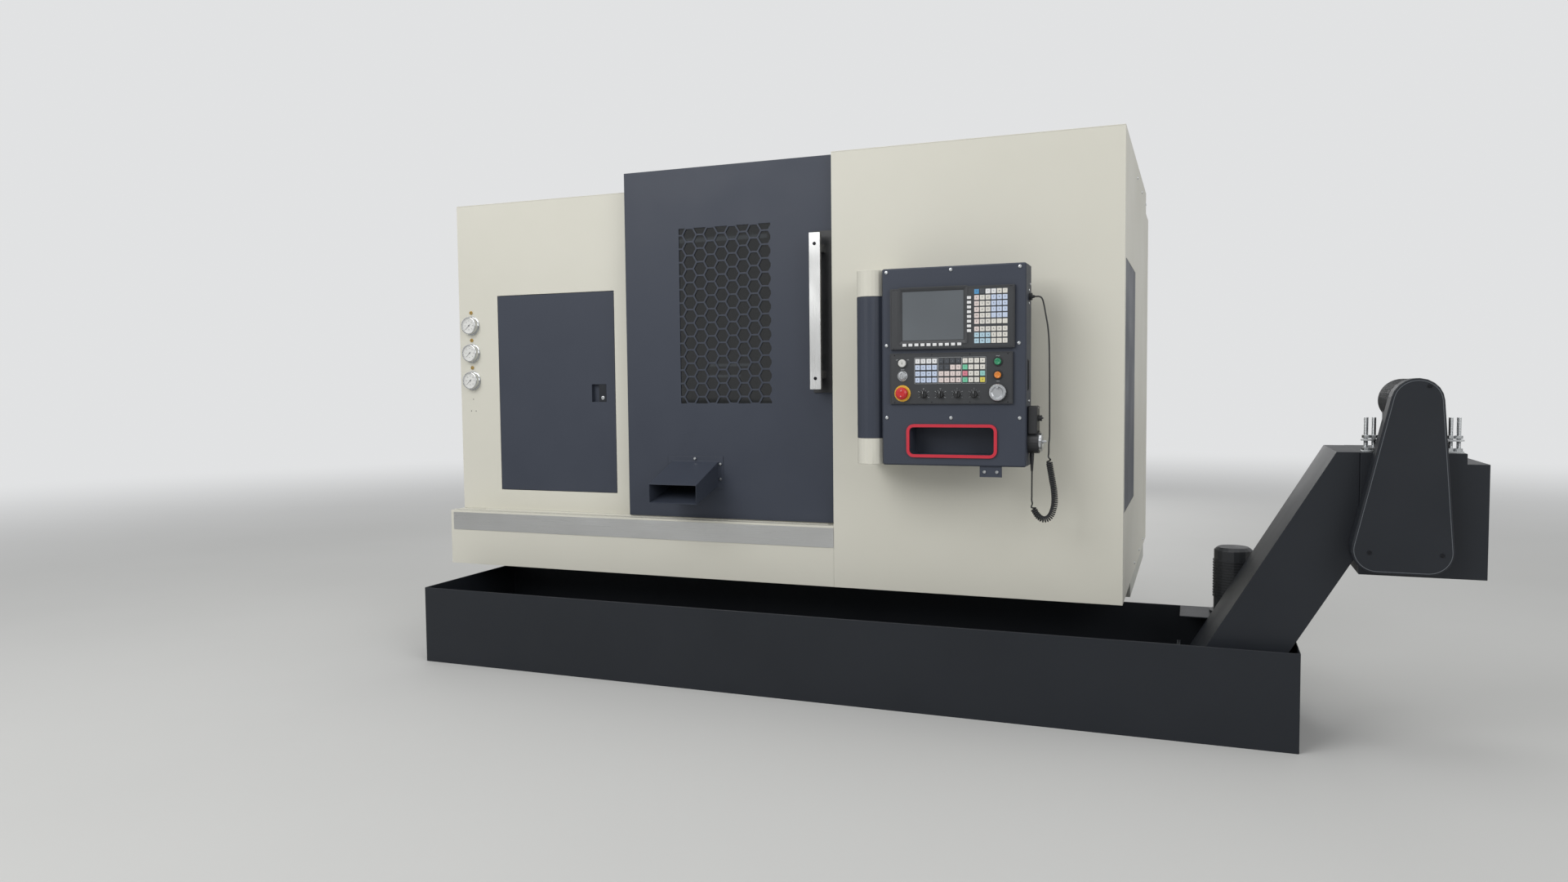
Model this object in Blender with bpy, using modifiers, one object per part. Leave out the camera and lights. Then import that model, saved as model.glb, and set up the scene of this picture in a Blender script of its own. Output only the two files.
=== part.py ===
"""Slant-bed turning lathe with its sheet-metal enclosure, swivelling control station, coolant tank and chip conveyor.

Metres, +Z up. Sizes below are in the machine's own frame: x runs right from the left end of the enclosure, y runs
back from the front of the right-hand panel, and z runs up from the floor. An empty carries that frame, so that the
finished part has its origin at the middle of its base.
"""

import math

import bmesh
import bpy
from mathutils import Matrix, Vector

# Running values
seam = 0.0003  # between pieces that touch
overrun = 0.01  # how far a cutter passes the faces it opens
merge = 0.00005

# Enclosure
width = 2.734
depth = 1.40
right_height = 1.937
left_height = 1.873
skirt_height = 0.355
sheet = 0.003
left_front = 0.090
sill_height = 0.581
ledge_depth = 0.130
shelf_depth = 0.420
return_flange = 0.026
jamb_depth = 0.250
header_drop = 0.175
roof_seat = 0.040

# Sliding door
door_left = 0.852
door_right = 1.721
door_front = 0.030
door_depth = 0.030
door_closing_gap = 0.002
door_top_gap = 0.004
door_overlap = 0.048
guide_height = 0.006
guide_width = 0.010
guide_left = 0.150
hex_left = 1.089
hex_right = 1.470
hex_bottom = 1.031
hex_top = 1.703
hex_across = 0.0455
hex_web = 0.0062
glass_thickness = 0.005
glass_margin = 0.020

# Door handle
handle_left = 1.645
handle_width = 0.043
handle_bottom = 1.082
handle_length = 0.566
handle_reach = 0.060
handle_bar = 0.016
handle_post = 0.028
handle_inset = 0.040
grip_strip_left = 1.640
grip_strip_width = 0.072
grip_strip_margin = 0.012
grip_strip_thickness = 0.003

# Chute on the door
chute_left = 1.049
chute_width = 0.197
chute_reach = 0.200
chute_mouth_bottom = 0.662
chute_mouth_height = 0.072
chute_root_bottom = 0.715
chute_root_height = 0.093
chute_wall = 0.0025
chute_inset = 0.010
chute_flange_margin = 0.020
chute_flange_drop = 0.014

# Stainless strip on the sill
strip_left = 0.015
strip_bottom = 0.500
strip_height = 0.073
strip_thickness = 0.0015

# Cabinet door in the left panel, with its flush latch
cabinet_left = 0.199
cabinet_width = 0.561
cabinet_bottom = 0.667
cabinet_height = 0.817
leaf_depth = 0.022
leaf_gap = 0.002
hinge_inset = 0.004
hinge_pin_radius = 0.002
hinge_boss_radius = 0.0036
hinge_length = 0.014
hinge_clearance = 0.0003
latch_left = 0.651
latch_width = 0.068
latch_bottom = 1.037
latch_height = 0.072
latch_cup_depth = 0.018
paddle_width = 0.034
paddle_thickness = 0.008
paddle_inset = 0.0015

# Pressure gauges and their adjusting screws
gauge_x = 0.062
gauge_bottom_z = 1.130
gauge_pitch = 0.117
gauge_radius = 0.037
gauge_flange_radius = 0.041
gauge_flange_thickness = 0.003
gauge_height = 0.024
gauge_rim = 0.004
gauge_dish = 0.003
adjuster_radius = 0.007
adjuster_height = 0.004
adjuster_rise = 0.055

# Side door
side_door_front = 0.050
side_door_width = 0.550
side_door_bottom = 0.660
side_door_height = 0.850

# Rear cover
rear_depth = 0.230
rear_height = 1.850
louvre_count = 6
louvre_pitch = 0.060
louvre_height = 0.014
louvre_width = 0.420
louvre_left = 0.300
louvre_bottom = 0.900

# Spindle line and slanted bed
spindle_y = 0.500
spindle_z = 1.060
slant = math.radians(45)
bed_left = 0.100
bed_right = 2.600
bed_front = 0.430
bed_back = 1.220
bed_shoulder = 0.440
bed_foot = 0.060
way_drop = 0.330  # from the spindle line to the top of the ways
way_height = 0.030
bed_low = 0.250  # how far the slanted face runs below and above the spindle line
bed_high = 0.450
way_left = 0.250
way_right = 2.450
way_width = 0.100
lower_way = -0.200
upper_way = 0.290
base_thickness = 0.055
foot_radius = 0.060
foot_stem_radius = 0.025
foot_pad = 0.025
foot_inset_along = 0.150
foot_inset_across = 0.075

# Headstock, spindle and chuck
headstock_left = 0.300
headstock_right = 0.780
headstock_radius = 0.170
spindle_radius = 0.060
spindle_clearance = 0.0005
pulley_radius = 0.100
pulley_width = 0.045
pulley_groove = 0.008
pulley_gap = 0.004
groove_share = 1 / 3  # of the pulley's width from each side to the bottom of its groove
chuck_plate = 0.020
chuck_plate_radius = 0.095
chuck_radius = 0.125
chuck_length = 0.120
chuck_bore = 0.033
chuck_chamfer = 0.006
jaw_inner = 0.045
jaw_length = 0.072
jaw_width = 0.034
jaw_step = 0.022
jaw_height = 0.045
jaw_count = 3

# Spindle motor
motor_left = 0.250
motor_length = 0.420
motor_radius = 0.115
motor_foot = 0.150
motor_end_radius = 0.070
motor_end_length = 0.040

# Screw of the long axis
screw_radius = 0.018
screw_clearance = 0.0005
screw_across = 0.090
screw_rise = 0.030  # above the top of the ways
bearing_left = 0.820
bearing_right = 2.360
bearing_length = 0.060
bearing_width = 0.080
bearing_height = 0.092
channel_half = 0.045
channel_rise = 0.026  # above the screw's middle
nut_half = 0.028
nut_length = 0.120

# Carriage, cross slide and turret
carriage_left = 0.950
carriage_length = 0.440
carriage_low = -0.220
carriage_high = 0.420
carriage_height = 0.090
cross_left = 1.140
cross_length = 0.240
cross_low = 0.100
cross_high = 0.460
cross_height = 0.080
turret_across = 0.360
turret_left = 1.100
turret_width = 0.078
turret_radius = 0.130
turret_stations = 8
holder_height = 0.025
holder_width = 0.040
housing_half = 0.100
housing_top = 0.100
housing_corner = 0.025
holder_inset = 0.0155

# Tailstock and quill
tailstock_left = 2.020
tailstock_length = 0.320
tailstock_neck = 0.070
barrel_radius = 0.075
quill_radius = 0.045
quill_clearance = 0.0005
quill_reach = 0.050
quill_inside = 0.260
centre_length = 0.050

# Hydraulic unit behind the cabinet door
hydraulic_left = 0.260
hydraulic_width = 0.360
hydraulic_front = 0.130
hydraulic_depth = 0.190
hydraulic_height = 0.200
pump_motor_radius = 0.060
pump_motor_height = 0.250

# Coolant tank and its pump
tank_left = 0.070
tank_clearance = 0.020  # between its right wall and the incline
tank_front = -0.260
tank_depth = 0.600
tank_height = 0.300
tank_wall = 0.004
cover_length = 0.340
pump_radius = 0.062
pump_height = 0.230
pump_inset = 0.075
pump_flange_radius = 0.075
pump_flange = 0.010
pump_cap_share = 0.8

# Chip conveyor
conveyor_left = 0.130
conveyor_front = -0.200
conveyor_width = 0.350
conveyor_trough = 0.200
conveyor_wall = 0.004
conveyor_lip = 0.200
conveyor_flange = 0.012
flange_thickness = 0.006
incline_level = 0.150  # level length of its housing before the bend
incline_top_x = 3.400
incline_entry = 0.060
incline_angle = math.radians(60)
head_width = 0.320
head_bottom = 0.535
head_height = 0.355
hood_width = 0.055
hood_drop = 0.030
head_margin = 0.012
guard_centre = 3.530
guard_lean = 0.030  # how far its foot stands to the left of its top
guard_top_radius = 0.066
guard_bottom_half = 0.128
guard_corner = 0.066
guard_bottom = 0.550
guard_height = 0.553
guard_depth = 0.065
guard_edge = 0.006
drive_radius = 0.060
drive_length = 0.230
drive_foot = 0.110
drive_chamfer = 0.020
drive_foot_share = 0.7

# Swivel of the control station
post_x = 1.924
post_y = -0.179
hub_radius = 0.050
hub_height = 0.088
post_radius = 0.018
post_clearance = 0.0006
hub_gap = 0.0005

# Control box
box_left = 1.9755
box_width = 0.4745
box_front = -0.230
box_depth = 0.110
box_bottom = 0.829
box_height = 0.653
box_edge = 0.004
bracket_offset = 0.3245
bracket_width = 0.072
bracket_drop = 0.035
bracket_thickness = 0.004
bracket_inset = 0.008

# Tray opening and its trim
tray_offset = 0.083
tray_width = 0.300
tray_rise = 0.027
tray_height = 0.110
tray_corner = 0.024
trim_width = 0.010
trim_thickness = 0.006
tray_depth = 0.092

# Display unit with its keys
display_offset = 0.030
display_width = 0.410
display_rise = 0.384
display_height = 0.200
display_thickness = 0.010
screen_offset = 0.072
screen_width = 0.204
screen_rise = 0.413
screen_height = 0.160
screen_recess = 0.004
screen_thickness = 0.003
key_size = 0.0145
key_height = 0.002
key_root = 0.001
key_pitch_x = 0.0182
key_pitch_z = 0.0192
key_columns = 6
key_rows = 9
key_first_offset = 0.3188
key_first_rise = 0.5630
key_block_rows = 6
key_block_gap = 0.0045
soft_key_width = 0.0125
soft_key_height = 0.0085
soft_row_count = 10
soft_row_offset = 0.0795
soft_row_pitch = 0.0203
soft_row_rise = 0.3985
soft_column_count = 8
soft_column_offset = 0.2942
soft_column_pitch = 0.0152
soft_column_rise = 0.5470

# Operator panel with its keys
panel_offset = 0.0284
panel_width = 0.406
panel_rise = 0.2037
panel_height = 0.168
panel_thickness = 0.008
panel_key = 0.0150
panel_key_pitch = 0.0190
panel_key_groups = 3
panel_group_columns = 4
panel_group_pitch = 0.0788
panel_key_offset = 0.1231
panel_key_rows = 4
panel_row_pitch = 0.0207
panel_key_rise = 0.3445

# Buttons, switches and knobs, at their offsets from the box's lower left corner
button_radius = 0.0110
button_clearance = 0.0005
button_rise = 0.009
button_seat = 0.0045
button_edge = 0.0015
bezel_width = 0.003
bezel_height = 0.003
buttons_offset = 0.3866
start_rise = 0.3400
hold_rise = 0.2968
switches_offset = 0.0717
key_switch_rise = 0.3388
selector_rise = 0.2965
switch_radius = 0.0125
switch_height = 0.010
selector_radius = 0.0135
selector_height = 0.014
stop_rise = 0.2390
stop_radius = 0.0200
stop_stem = 0.0110
stop_head = 0.012
stop_standoff = 0.008
stop_travel = 0.005
stop_dome_shares = ((0.5, 0.94), (0.85, 0.7), (1, 0.35))  # of the head's radius and height
stop_ring_radius = 0.0275
stop_ring = 0.003
knob_rise = 0.2350
knob_offset = 0.1427
knob_pitch = 0.0558
knob_count = 4
knob_radius = 0.0125
knob_height = 0.016
knob_bar = 0.004
knob_skirt = 0.003
knob_body_share = 0.85
knob_bar_width_share = 0.4
knob_bar_length_share = 0.8
wheel_rise = 0.2404
wheel_offset = 0.3868
wheel_radius = 0.0280
wheel_height = 0.014
wheel_grip_radius = 0.006
wheel_grip_height = 0.006
wheel_grip_share = 0.62
wheel_dish_shares = ((0.55, 0.75), (0.70, 1), (0.92, 1), (1, 0.8))  # of its radius and height
wheel_grip_taper_share = 0.8

# Handheld unit on the side of the box
pendant_y = -0.170
pendant_block_width = 0.070
pendant_block_thickness = 0.030
pendant_block_top = 1.025
pendant_block_sink = 0.012
pendant_drum_z = 0.908
pendant_drum_radius = 0.037
pendant_drum_thickness = 0.034
relief_top_radius = 0.007
relief_tip_radius = 0.0038
relief_length = 0.058
relief_inset = 0.0105
relief_seat = 0.012
dial_z = 0.985
dial_radius = 0.011
dial_height = 0.016
dial_bar = 0.004
crank_radius = 0.030
crank_height = 0.010
crank_grip_radius = 0.005
crank_grip_height = 0.010
crank_grip_share = 0.70

# Cord from the box's side to the handheld unit
cord_z = 1.377
cord_radius = 0.0025
cord_step = 0.016
coil_radius = 0.010
coil_step = 0.024
plug_radius = 0.012
plug_length = 0.010
boot_radius = 0.006
boot_length = 0.008
boot_tip_radius = 0.0042
cord_upper_points = (
    (2.4688, -0.170, 1.3770),
    (2.4750, -0.170, 1.3770),
    (2.4820, -0.170, 1.3765),
    (2.4910, -0.170, 1.3700),
    (2.4965, -0.170, 1.3530),
    (2.5020, -0.170, 1.3230),
    (2.5100, -0.170, 1.2760),
    (2.5140, -0.170, 1.2200),
    (2.5155, -0.170, 1.1200),
    (2.5160, -0.170, 1.0100),
    (2.5160, -0.170, 0.9300),
    (2.5141, -0.170, 0.9000),
    (2.5140, -0.170, 0.8823),
)
cord_coil_points = (
    (2.5140, -0.170, 0.8820),
    (2.5140, -0.170, 0.8700),
    (2.5160, -0.170, 0.8400),
    (2.5240, -0.170, 0.7920),
    (2.5310, -0.170, 0.7500),
    (2.5320, -0.170, 0.7050),
    (2.5200, -0.170, 0.6680),
    (2.5010, -0.170, 0.6560),
    (2.4830, -0.170, 0.6640),
    (2.4680, -0.170, 0.6860),
    (2.4605, -0.170, 0.7080),
    (2.4603, -0.170, 0.7200),
    (2.4603, -0.170, 0.7290),
)
cord_tail_points = (
    (2.4603, -0.170, 0.7293),
    (2.4603, -0.170, 0.7500),
    (2.4605, -0.170, 0.7800),
    (2.4608, -0.170, 0.8127),
)

# Worked-out places
conveyor_floor = tank_wall + seam
incline_rise = head_bottom + incline_entry - conveyor_floor
incline_foot = incline_top_x - incline_rise / math.tan(incline_angle)
tank_right = incline_foot + (tank_height - conveyor_floor) / math.tan(incline_angle) + tank_clearance
depth_behind = depth + rear_depth
origin_x = -(incline_top_x + head_width) / 2
front_reach = min(tank_front, box_front - panel_thickness - stop_ring - stop_standoff - stop_head)
front_reach = min(front_reach, box_front - panel_thickness - wheel_height - wheel_grip_height)
front_reach = min(front_reach, conveyor_front - head_margin - guard_depth)
origin_y = -(front_reach + depth_behind) / 2
box_right = box_left + box_width
box_back = box_front + box_depth
panel_face = box_front - seam - panel_thickness
way_top = -way_drop
bed_face = way_top - way_height
jamb_x = door_left + door_overlap
door_edge = door_right - door_closing_gap
door_bottom = sill_height + guide_height + seam
door_top = right_height - door_top_gap
cabinet_pin = (cabinet_left + hinge_inset, left_front + hinge_inset)
side_pin = (width - hinge_inset, side_door_front + side_door_width - hinge_inset)


def clear_scene():
    for thing in list(bpy.data.objects):
        bpy.data.objects.remove(thing, do_unlink=True)


def collection(name):
    made = bpy.data.collections.new(name)
    bpy.context.scene.collection.children.link(made)
    return made


clear_scene()
parts = collection("turning_lathe")
cutters = collection("cutters")
machine = bpy.data.objects.new("machine_frame", None)
machine.location = (origin_x, origin_y, 0)
parts.objects.link(machine)
slope = bpy.data.objects.new("slant_frame", None)
slope.location = (0, spindle_y, spindle_z)
slope.rotation_euler.x = slant
slope.parent = machine
parts.objects.link(slope)


def paint(name, colour, roughness, metallic=0.0, alpha=1.0):
    made = bpy.data.materials.new(name)
    made.use_nodes = True
    shader = made.node_tree.nodes["Principled BSDF"]
    shader.inputs["Base Color"].default_value = (*colour, 1)
    shader.inputs["Roughness"].default_value = roughness
    shader.inputs["Metallic"].default_value = metallic
    shader.inputs["Alpha"].default_value = alpha
    return made


cream = paint("cream_enamel", (0.64, 0.62, 0.56), 0.45)
graphite = paint("graphite_powder_coat", (0.045, 0.052, 0.072), 0.5)
soot = paint("black_paint", (0.018, 0.020, 0.024), 0.5)
stainless = paint("stainless_sheet", (0.62, 0.62, 0.60), 0.3, 1.0)
chrome = paint("chrome", (0.75, 0.75, 0.74), 0.15, 1.0)
steel = paint("ground_steel", (0.50, 0.51, 0.52), 0.3, 1.0)
casting = paint("painted_casting", (0.50, 0.50, 0.46), 0.55)
motor_black = paint("motor_black", (0.03, 0.03, 0.035), 0.5)
moulded = paint("moulded_black", (0.014, 0.014, 0.016), 0.55)
panel_grey = paint("panel_film", (0.028, 0.030, 0.032), 0.45)
display = paint("display_glass", (0.05, 0.055, 0.06), 0.1)
glazing = paint("clear_glazing", (0.75, 0.80, 0.80), 0.05, 0.0, 0.3)
red = paint("red_trim", (0.58, 0.02, 0.04), 0.4)
signal_red = paint("signal_red", (0.60, 0.03, 0.02), 0.35)
yellow = paint("signal_yellow", (0.80, 0.55, 0.05), 0.4)
green = paint("signal_green", (0.02, 0.30, 0.14), 0.35)
orange = paint("signal_orange", (0.85, 0.30, 0.03), 0.35)
pale = paint("pale_plastic", (0.70, 0.70, 0.68), 0.4)
silver = paint("turned_aluminium", (0.60, 0.60, 0.60), 0.3, 1.0)


def place(name, mesh, at, carrier=None, group=None):
    """Links a mesh as an object whose origin is at a point of its carrier's frame."""
    made = bpy.data.objects.new(name, mesh)
    made.location = at
    made.parent = carrier or machine
    (group or parts).objects.link(made)
    if group is cutters:
        made.hide_render = True
        made.display_type = "WIRE"
    return made


def finish(made, coat, smooth=False):
    made.data.materials.clear()
    made.data.materials.append(coat)
    if smooth:
        made.data.shade_smooth()
        made.data.set_sharp_from_angle(angle=math.radians(35))
    return made


def mesh_of(name, shape):
    mesh = bpy.data.meshes.new(name)
    shape.to_mesh(mesh)
    shape.free()
    return mesh


def add_block(shape, low, high):
    """Adds a box between two corners to a bmesh."""
    sizes = [b - a for a, b in zip(low, high)]
    middle = [(a + b) / 2 for a, b in zip(low, high)]
    matrix = Matrix.Translation(middle) @ Matrix.Diagonal((*sizes, 1))
    bmesh.ops.create_cube(shape, size=1, matrix=matrix)


def block(name, low, high, origin=None, carrier=None, group=None):
    origin = origin or [(a + b) / 2 for a, b in zip(low, high)]
    shape = bmesh.new()
    add_block(shape, [a - o for a, o in zip(low, origin)], [b - o for b, o in zip(high, origin)])
    return place(name, mesh_of(name, shape), origin, carrier, group)


def blocks(name, boxes, carrier=None, group=None):
    """One object of many separate boxes, used as a tool of a Boolean."""
    shape = bmesh.new()
    for low, high in boxes:
        add_block(shape, low, high)
    return place(name, mesh_of(name, shape), (0, 0, 0), carrier, group)


TURNS = {
    "x": Matrix(((0, 0, 1), (1, 0, 0), (0, 1, 0))),
    "y": Matrix(((1, 0, 0), (0, 0, 1), (0, 1, 0))),
    "z": Matrix.Identity(3),
}
TOWARDS = {
    "+x": Matrix.Rotation(math.radians(90), 3, "Y"),
    "-x": Matrix.Rotation(math.radians(-90), 3, "Y"),
    "-y": Matrix.Rotation(math.radians(90), 3, "X"),
    "+y": Matrix.Rotation(math.radians(-90), 3, "X"),
    "+z": Matrix.Identity(3),
    "-z": Matrix.Rotation(math.radians(180), 3, "X"),
}


def prism(name, outline, start, end, along, origin=(0, 0, 0), carrier=None, group=None):
    """A flat outline given in the two other axes, in x, y, z order, extruded between two places along an axis."""
    curve = bpy.data.curves.new(name, "CURVE")
    curve.dimensions = "2D"
    curve.fill_mode = "BOTH"
    curve.extrude = abs(end - start) / 2
    loops = outline if isinstance(outline[0][0], (tuple, list)) else [outline]
    for loop in loops:
        spline = curve.splines.new("POLY")
        spline.points.add(len(loop) - 1)
        spline.use_cyclic_u = True
        for point, (u, v) in zip(spline.points, loop):
            point.co = (u, v, 0, 1)
    drawn = bpy.data.objects.new(name, curve)
    mesh = bpy.data.meshes.new_from_object(drawn)
    bpy.data.objects.remove(drawn)
    bpy.data.curves.remove(curve)
    shape = bmesh.new()
    shape.from_mesh(mesh)
    bpy.data.meshes.remove(mesh)
    bmesh.ops.remove_doubles(shape, verts=shape.verts, dist=merge)
    turn = TURNS[along]
    middle = turn @ Vector((0, 0, (start + end) / 2))
    for vert in shape.verts:
        vert.co = turn @ vert.co + middle - Vector(origin)
    bmesh.ops.dissolve_limit(shape, angle_limit=merge, verts=shape.verts, edges=shape.edges)
    bmesh.ops.recalc_face_normals(shape, faces=shape.faces)
    return place(name, mesh_of(name, shape), origin, carrier, group)


def turned(name, profile, steps, at, towards="+z", carrier=None, group=None):
    """A turned piece: (radius, height) pairs from the top of its outer side to the bottom, about its own axis."""
    mesh = bpy.data.meshes.new(name)
    closed = profile[0] == profile[-1]
    points = profile[:-1] if closed else profile
    edges = [(i, i + 1) for i in range(len(points) - 1)]
    if closed:
        edges.append((len(points) - 1, 0))
    mesh.from_pydata([(radius, 0, height) for radius, height in points], edges, [])
    made = place(name, mesh, at, carrier, group)
    made.rotation_euler = TOWARDS[towards].to_euler()
    screw = made.modifiers.new("turn", "SCREW")
    screw.axis = "Z"
    screw.steps = steps
    screw.render_steps = steps
    screw.use_merge_vertices = True
    screw.merge_threshold = merge
    return made


def rod(radius, top, bottom):
    """The profile of a plain cylinder between two heights."""
    return [(0, top), (radius, top), (radius, bottom), (0, bottom)]


def combine(made, tool, operation):
    step = made.modifiers.new(operation.lower(), "BOOLEAN")
    step.operation = operation
    step.solver = "EXACT"
    step.object = tool
    return made


def cut(made, tool):
    return combine(made, tool, "DIFFERENCE")


def join(made, tool):
    return combine(made, tool, "UNION")


def arc(centre, radius, start, end, count):
    """Points along an arc, in degrees, from start to end."""
    turns = [math.radians(start + (end - start) * i / count) for i in range(count + 1)]
    return [(centre[0] + radius * math.cos(t), centre[1] + radius * math.sin(t)) for t in turns]


def rounded(low, high, radius, count=5):
    """A rectangle with round corners."""
    left, right = low[0] + radius, high[0] - radius
    bottom, top = low[1] + radius, high[1] - radius
    return (
        arc((right, top), radius, 0, 90, count)
        + arc((left, top), radius, 90, 180, count)
        + arc((left, bottom), radius, 180, 270, count)
        + arc((right, bottom), radius, 270, 360, count)
    )


def folded(path, thickness):
    """The outline of a folded sheet whose outer face follows a path and whose metal lies on the path's left."""
    steps = [Vector(b) - Vector(a) for a, b in zip(path, path[1:])]
    normals = [Vector((-s.y, s.x)).normalized() for s in steps]
    inner = []
    for index, point in enumerate(path):
        before = normals[max(index - 1, 0)]
        after = normals[min(index, len(normals) - 1)]
        mitre = (before + after) / (1 + before.dot(after))
        inner.append(tuple(Vector(point) + mitre * thickness))
    return list(path) + inner[::-1]


def tray(name, low, high, wall, skin, carrier=None, origin=None):
    """A pan open at the back: a front skin with its four edges turned back."""
    made = block(name, low, high, origin, carrier)
    hollow_low = (low[0] + wall, low[1] + skin, low[2] + wall)
    hollow_high = (high[0] - wall, high[1] + overrun, high[2] - wall)
    return cut(made, block(name + "_hollow", hollow_low, hollow_high, group=cutters))


def cabinet_opening(name, clearance, front, back):
    """A box through the cabinet's opening, wider than the leaf by a clearance all round."""
    low = (cabinet_left - clearance, front, cabinet_bottom - clearance)
    high = (cabinet_left + cabinet_width + clearance, back, cabinet_bottom + cabinet_height + clearance)
    return block(name, low, high, group=cutters)


def hinge_pins(panel, pin, bottom, top):
    """Pins on bosses behind a panel's sheet, reaching into a leaf from above and from below."""
    reach = leaf_gap + hinge_length
    profile = [(0, reach), (hinge_pin_radius, reach), (hinge_pin_radius, 0), (hinge_boss_radius, 0),
               (hinge_boss_radius, -hinge_length), (0, -hinge_length)]
    for z, towards in ((top + leaf_gap, "-z"), (bottom - leaf_gap, "+z")):
        join(panel, turned("hinge_pin", profile, 12, (*pin, z), towards, group=cutters))


def hinge_bores(leaf, pin, bottom, top):
    """Bosses in a leaf's corners, bored for the panel's pins."""
    bore = rod(hinge_pin_radius + hinge_clearance, hinge_length + seam, -overrun)
    for z, towards in ((top, "-z"), (bottom, "+z")):
        join(leaf, turned("hinge_boss", rod(hinge_boss_radius, 2 * hinge_length, 0), 12, (*pin, z), towards,
                          group=cutters))
        cut(leaf, turned("hinge_bore", bore, 12, (*pin, z), towards, group=cutters))


def left_panel():
    """Sheet folded at the front left corner, turned deep at the chamber, with three adjusting screws."""
    path = ((0, depth), (0, left_front), (jamb_x, left_front), (jamb_x, left_front + jamb_depth))
    made = prism("left_panel", folded(path, sheet), sill_height + seam, left_height - sheet - seam, "z")
    cut(made, cabinet_opening("cabinet_opening", leaf_gap, left_front - overrun, left_front + sheet + overrun))
    for index in range(3):
        z = gauge_bottom_z + index * gauge_pitch + adjuster_rise
        at = (gauge_x, left_front, z)
        join(made, turned("adjuster_%d" % index, rod(adjuster_radius, adjuster_height, -sheet / 2), 12, at, "-y",
                          group=cutters))
    hinge_pins(made, cabinet_pin, cabinet_bottom, cabinet_bottom + cabinet_height)
    return finish(made, cream)


def right_panel():
    """Sheet folded at the front right corner, with the opening of the side door."""
    path = ((door_right, return_flange), (door_right, 0), (width, 0), (width, depth))
    made = prism("right_panel", folded(path, sheet), skirt_height, right_height - sheet - seam, "z")
    low = (width - sheet - overrun, side_door_front - leaf_gap, side_door_bottom - leaf_gap)
    high = (width + overrun, side_door_front + side_door_width + leaf_gap,
            side_door_bottom + side_door_height + leaf_gap)
    cut(made, block("side_opening", low, high, group=cutters))
    hinge_pins(made, side_pin, side_door_bottom, side_door_bottom + side_door_height)
    return finish(made, cream)


def lower_panel():
    """Sheet below the sill, with the ledge that carries the panels above, the door's guide and a shelf."""
    path = ((0, depth), (0, 0), (door_right - seam, 0))
    made = prism("lower_panel", folded(path, sheet), skirt_height, sill_height, "z")
    ledge = ((0, 0), (door_right - seam, 0), (door_right - seam, ledge_depth), (jamb_x, ledge_depth),
             (jamb_x, shelf_depth), (0, shelf_depth))
    join(made, prism("ledge", ledge, sill_height - sheet, sill_height, "z", group=cutters))
    middle = door_front + door_depth / 2
    low = (guide_left, middle - guide_width / 2, sill_height - sheet / 2)
    high = (door_right - seam, middle + guide_width / 2, sill_height + guide_height)
    join(made, block("guide", low, high, group=cutters))
    return finish(made, cream)


def sill_strip():
    low = (strip_left, -seam - strip_thickness, strip_bottom)
    high = (door_right - seam, -seam, strip_bottom + strip_height)
    return finish(block("sill_strip", low, high), stainless)


def roof_panel():
    """Roof in two levels with the header above the door and a flange down to the rear cover."""
    path = ((width, right_height), (jamb_x, right_height), (jamb_x, left_height), (0, left_height))
    front = door_front + door_depth + seam
    made = prism("roof_panel", folded(path, sheet), left_front, depth, "y")
    low = (door_right + seam, 0, right_height - sheet)
    high = (width, left_front + overrun, right_height)
    join(made, block("roof_front", low, high, group=cutters))
    low = (jamb_x, front, right_height - header_drop)
    high = (door_right - seam, left_front + sheet, right_height)
    header = block("header", low, high, group=cutters)
    join(made, header)
    low = (jamb_x, depth - sheet, rear_height - roof_seat)
    high = (width - sheet - seam, depth, right_height)
    join(made, block("roof_rear", low, high, group=cutters))
    return finish(made, cream)


def rear_cover():
    """Deep pan over the back, with cooling louvres."""
    low = (0, depth + seam, skirt_height)
    high = (width, depth_behind + seam, rear_height)
    made = block("rear_cover", low, high)
    low = (sheet, depth - overrun, skirt_height + sheet)
    high = (width - sheet, depth_behind + seam - sheet, rear_height - sheet)
    cut(made, block("rear_hollow", low, high, group=cutters))
    slots = []
    for index in range(louvre_count):
        z = louvre_bottom + index * louvre_pitch
        slots.append(((louvre_left, depth_behind - overrun, z),
                      (louvre_left + louvre_width, depth_behind + overrun, z + louvre_height)))
    cut(made, blocks("louvres", slots, group=cutters))
    return finish(made, cream)


def clipped(loop, low, high):
    """A convex loop clipped to a rectangle."""
    for axis, limit, sign in ((0, low[0], 1), (0, high[0], -1), (1, low[1], 1), (1, high[1], -1)):
        kept = []
        for here, there in zip(loop, loop[1:] + loop[:1]):
            a = sign * (here[axis] - limit)
            b = sign * (there[axis] - limit)
            if a >= 0:
                kept.append(here)
            if a * b < 0:
                share = a / (a - b)
                kept.append(tuple(p + (q - p) * share for p, q in zip(here, there)))
        loop = kept
    return loop


def area(loop):
    pairs = zip(loop, loop[1:] + loop[:1])
    return abs(sum(a[0] * b[1] - b[0] * a[1] for a, b in pairs)) / 2


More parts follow.
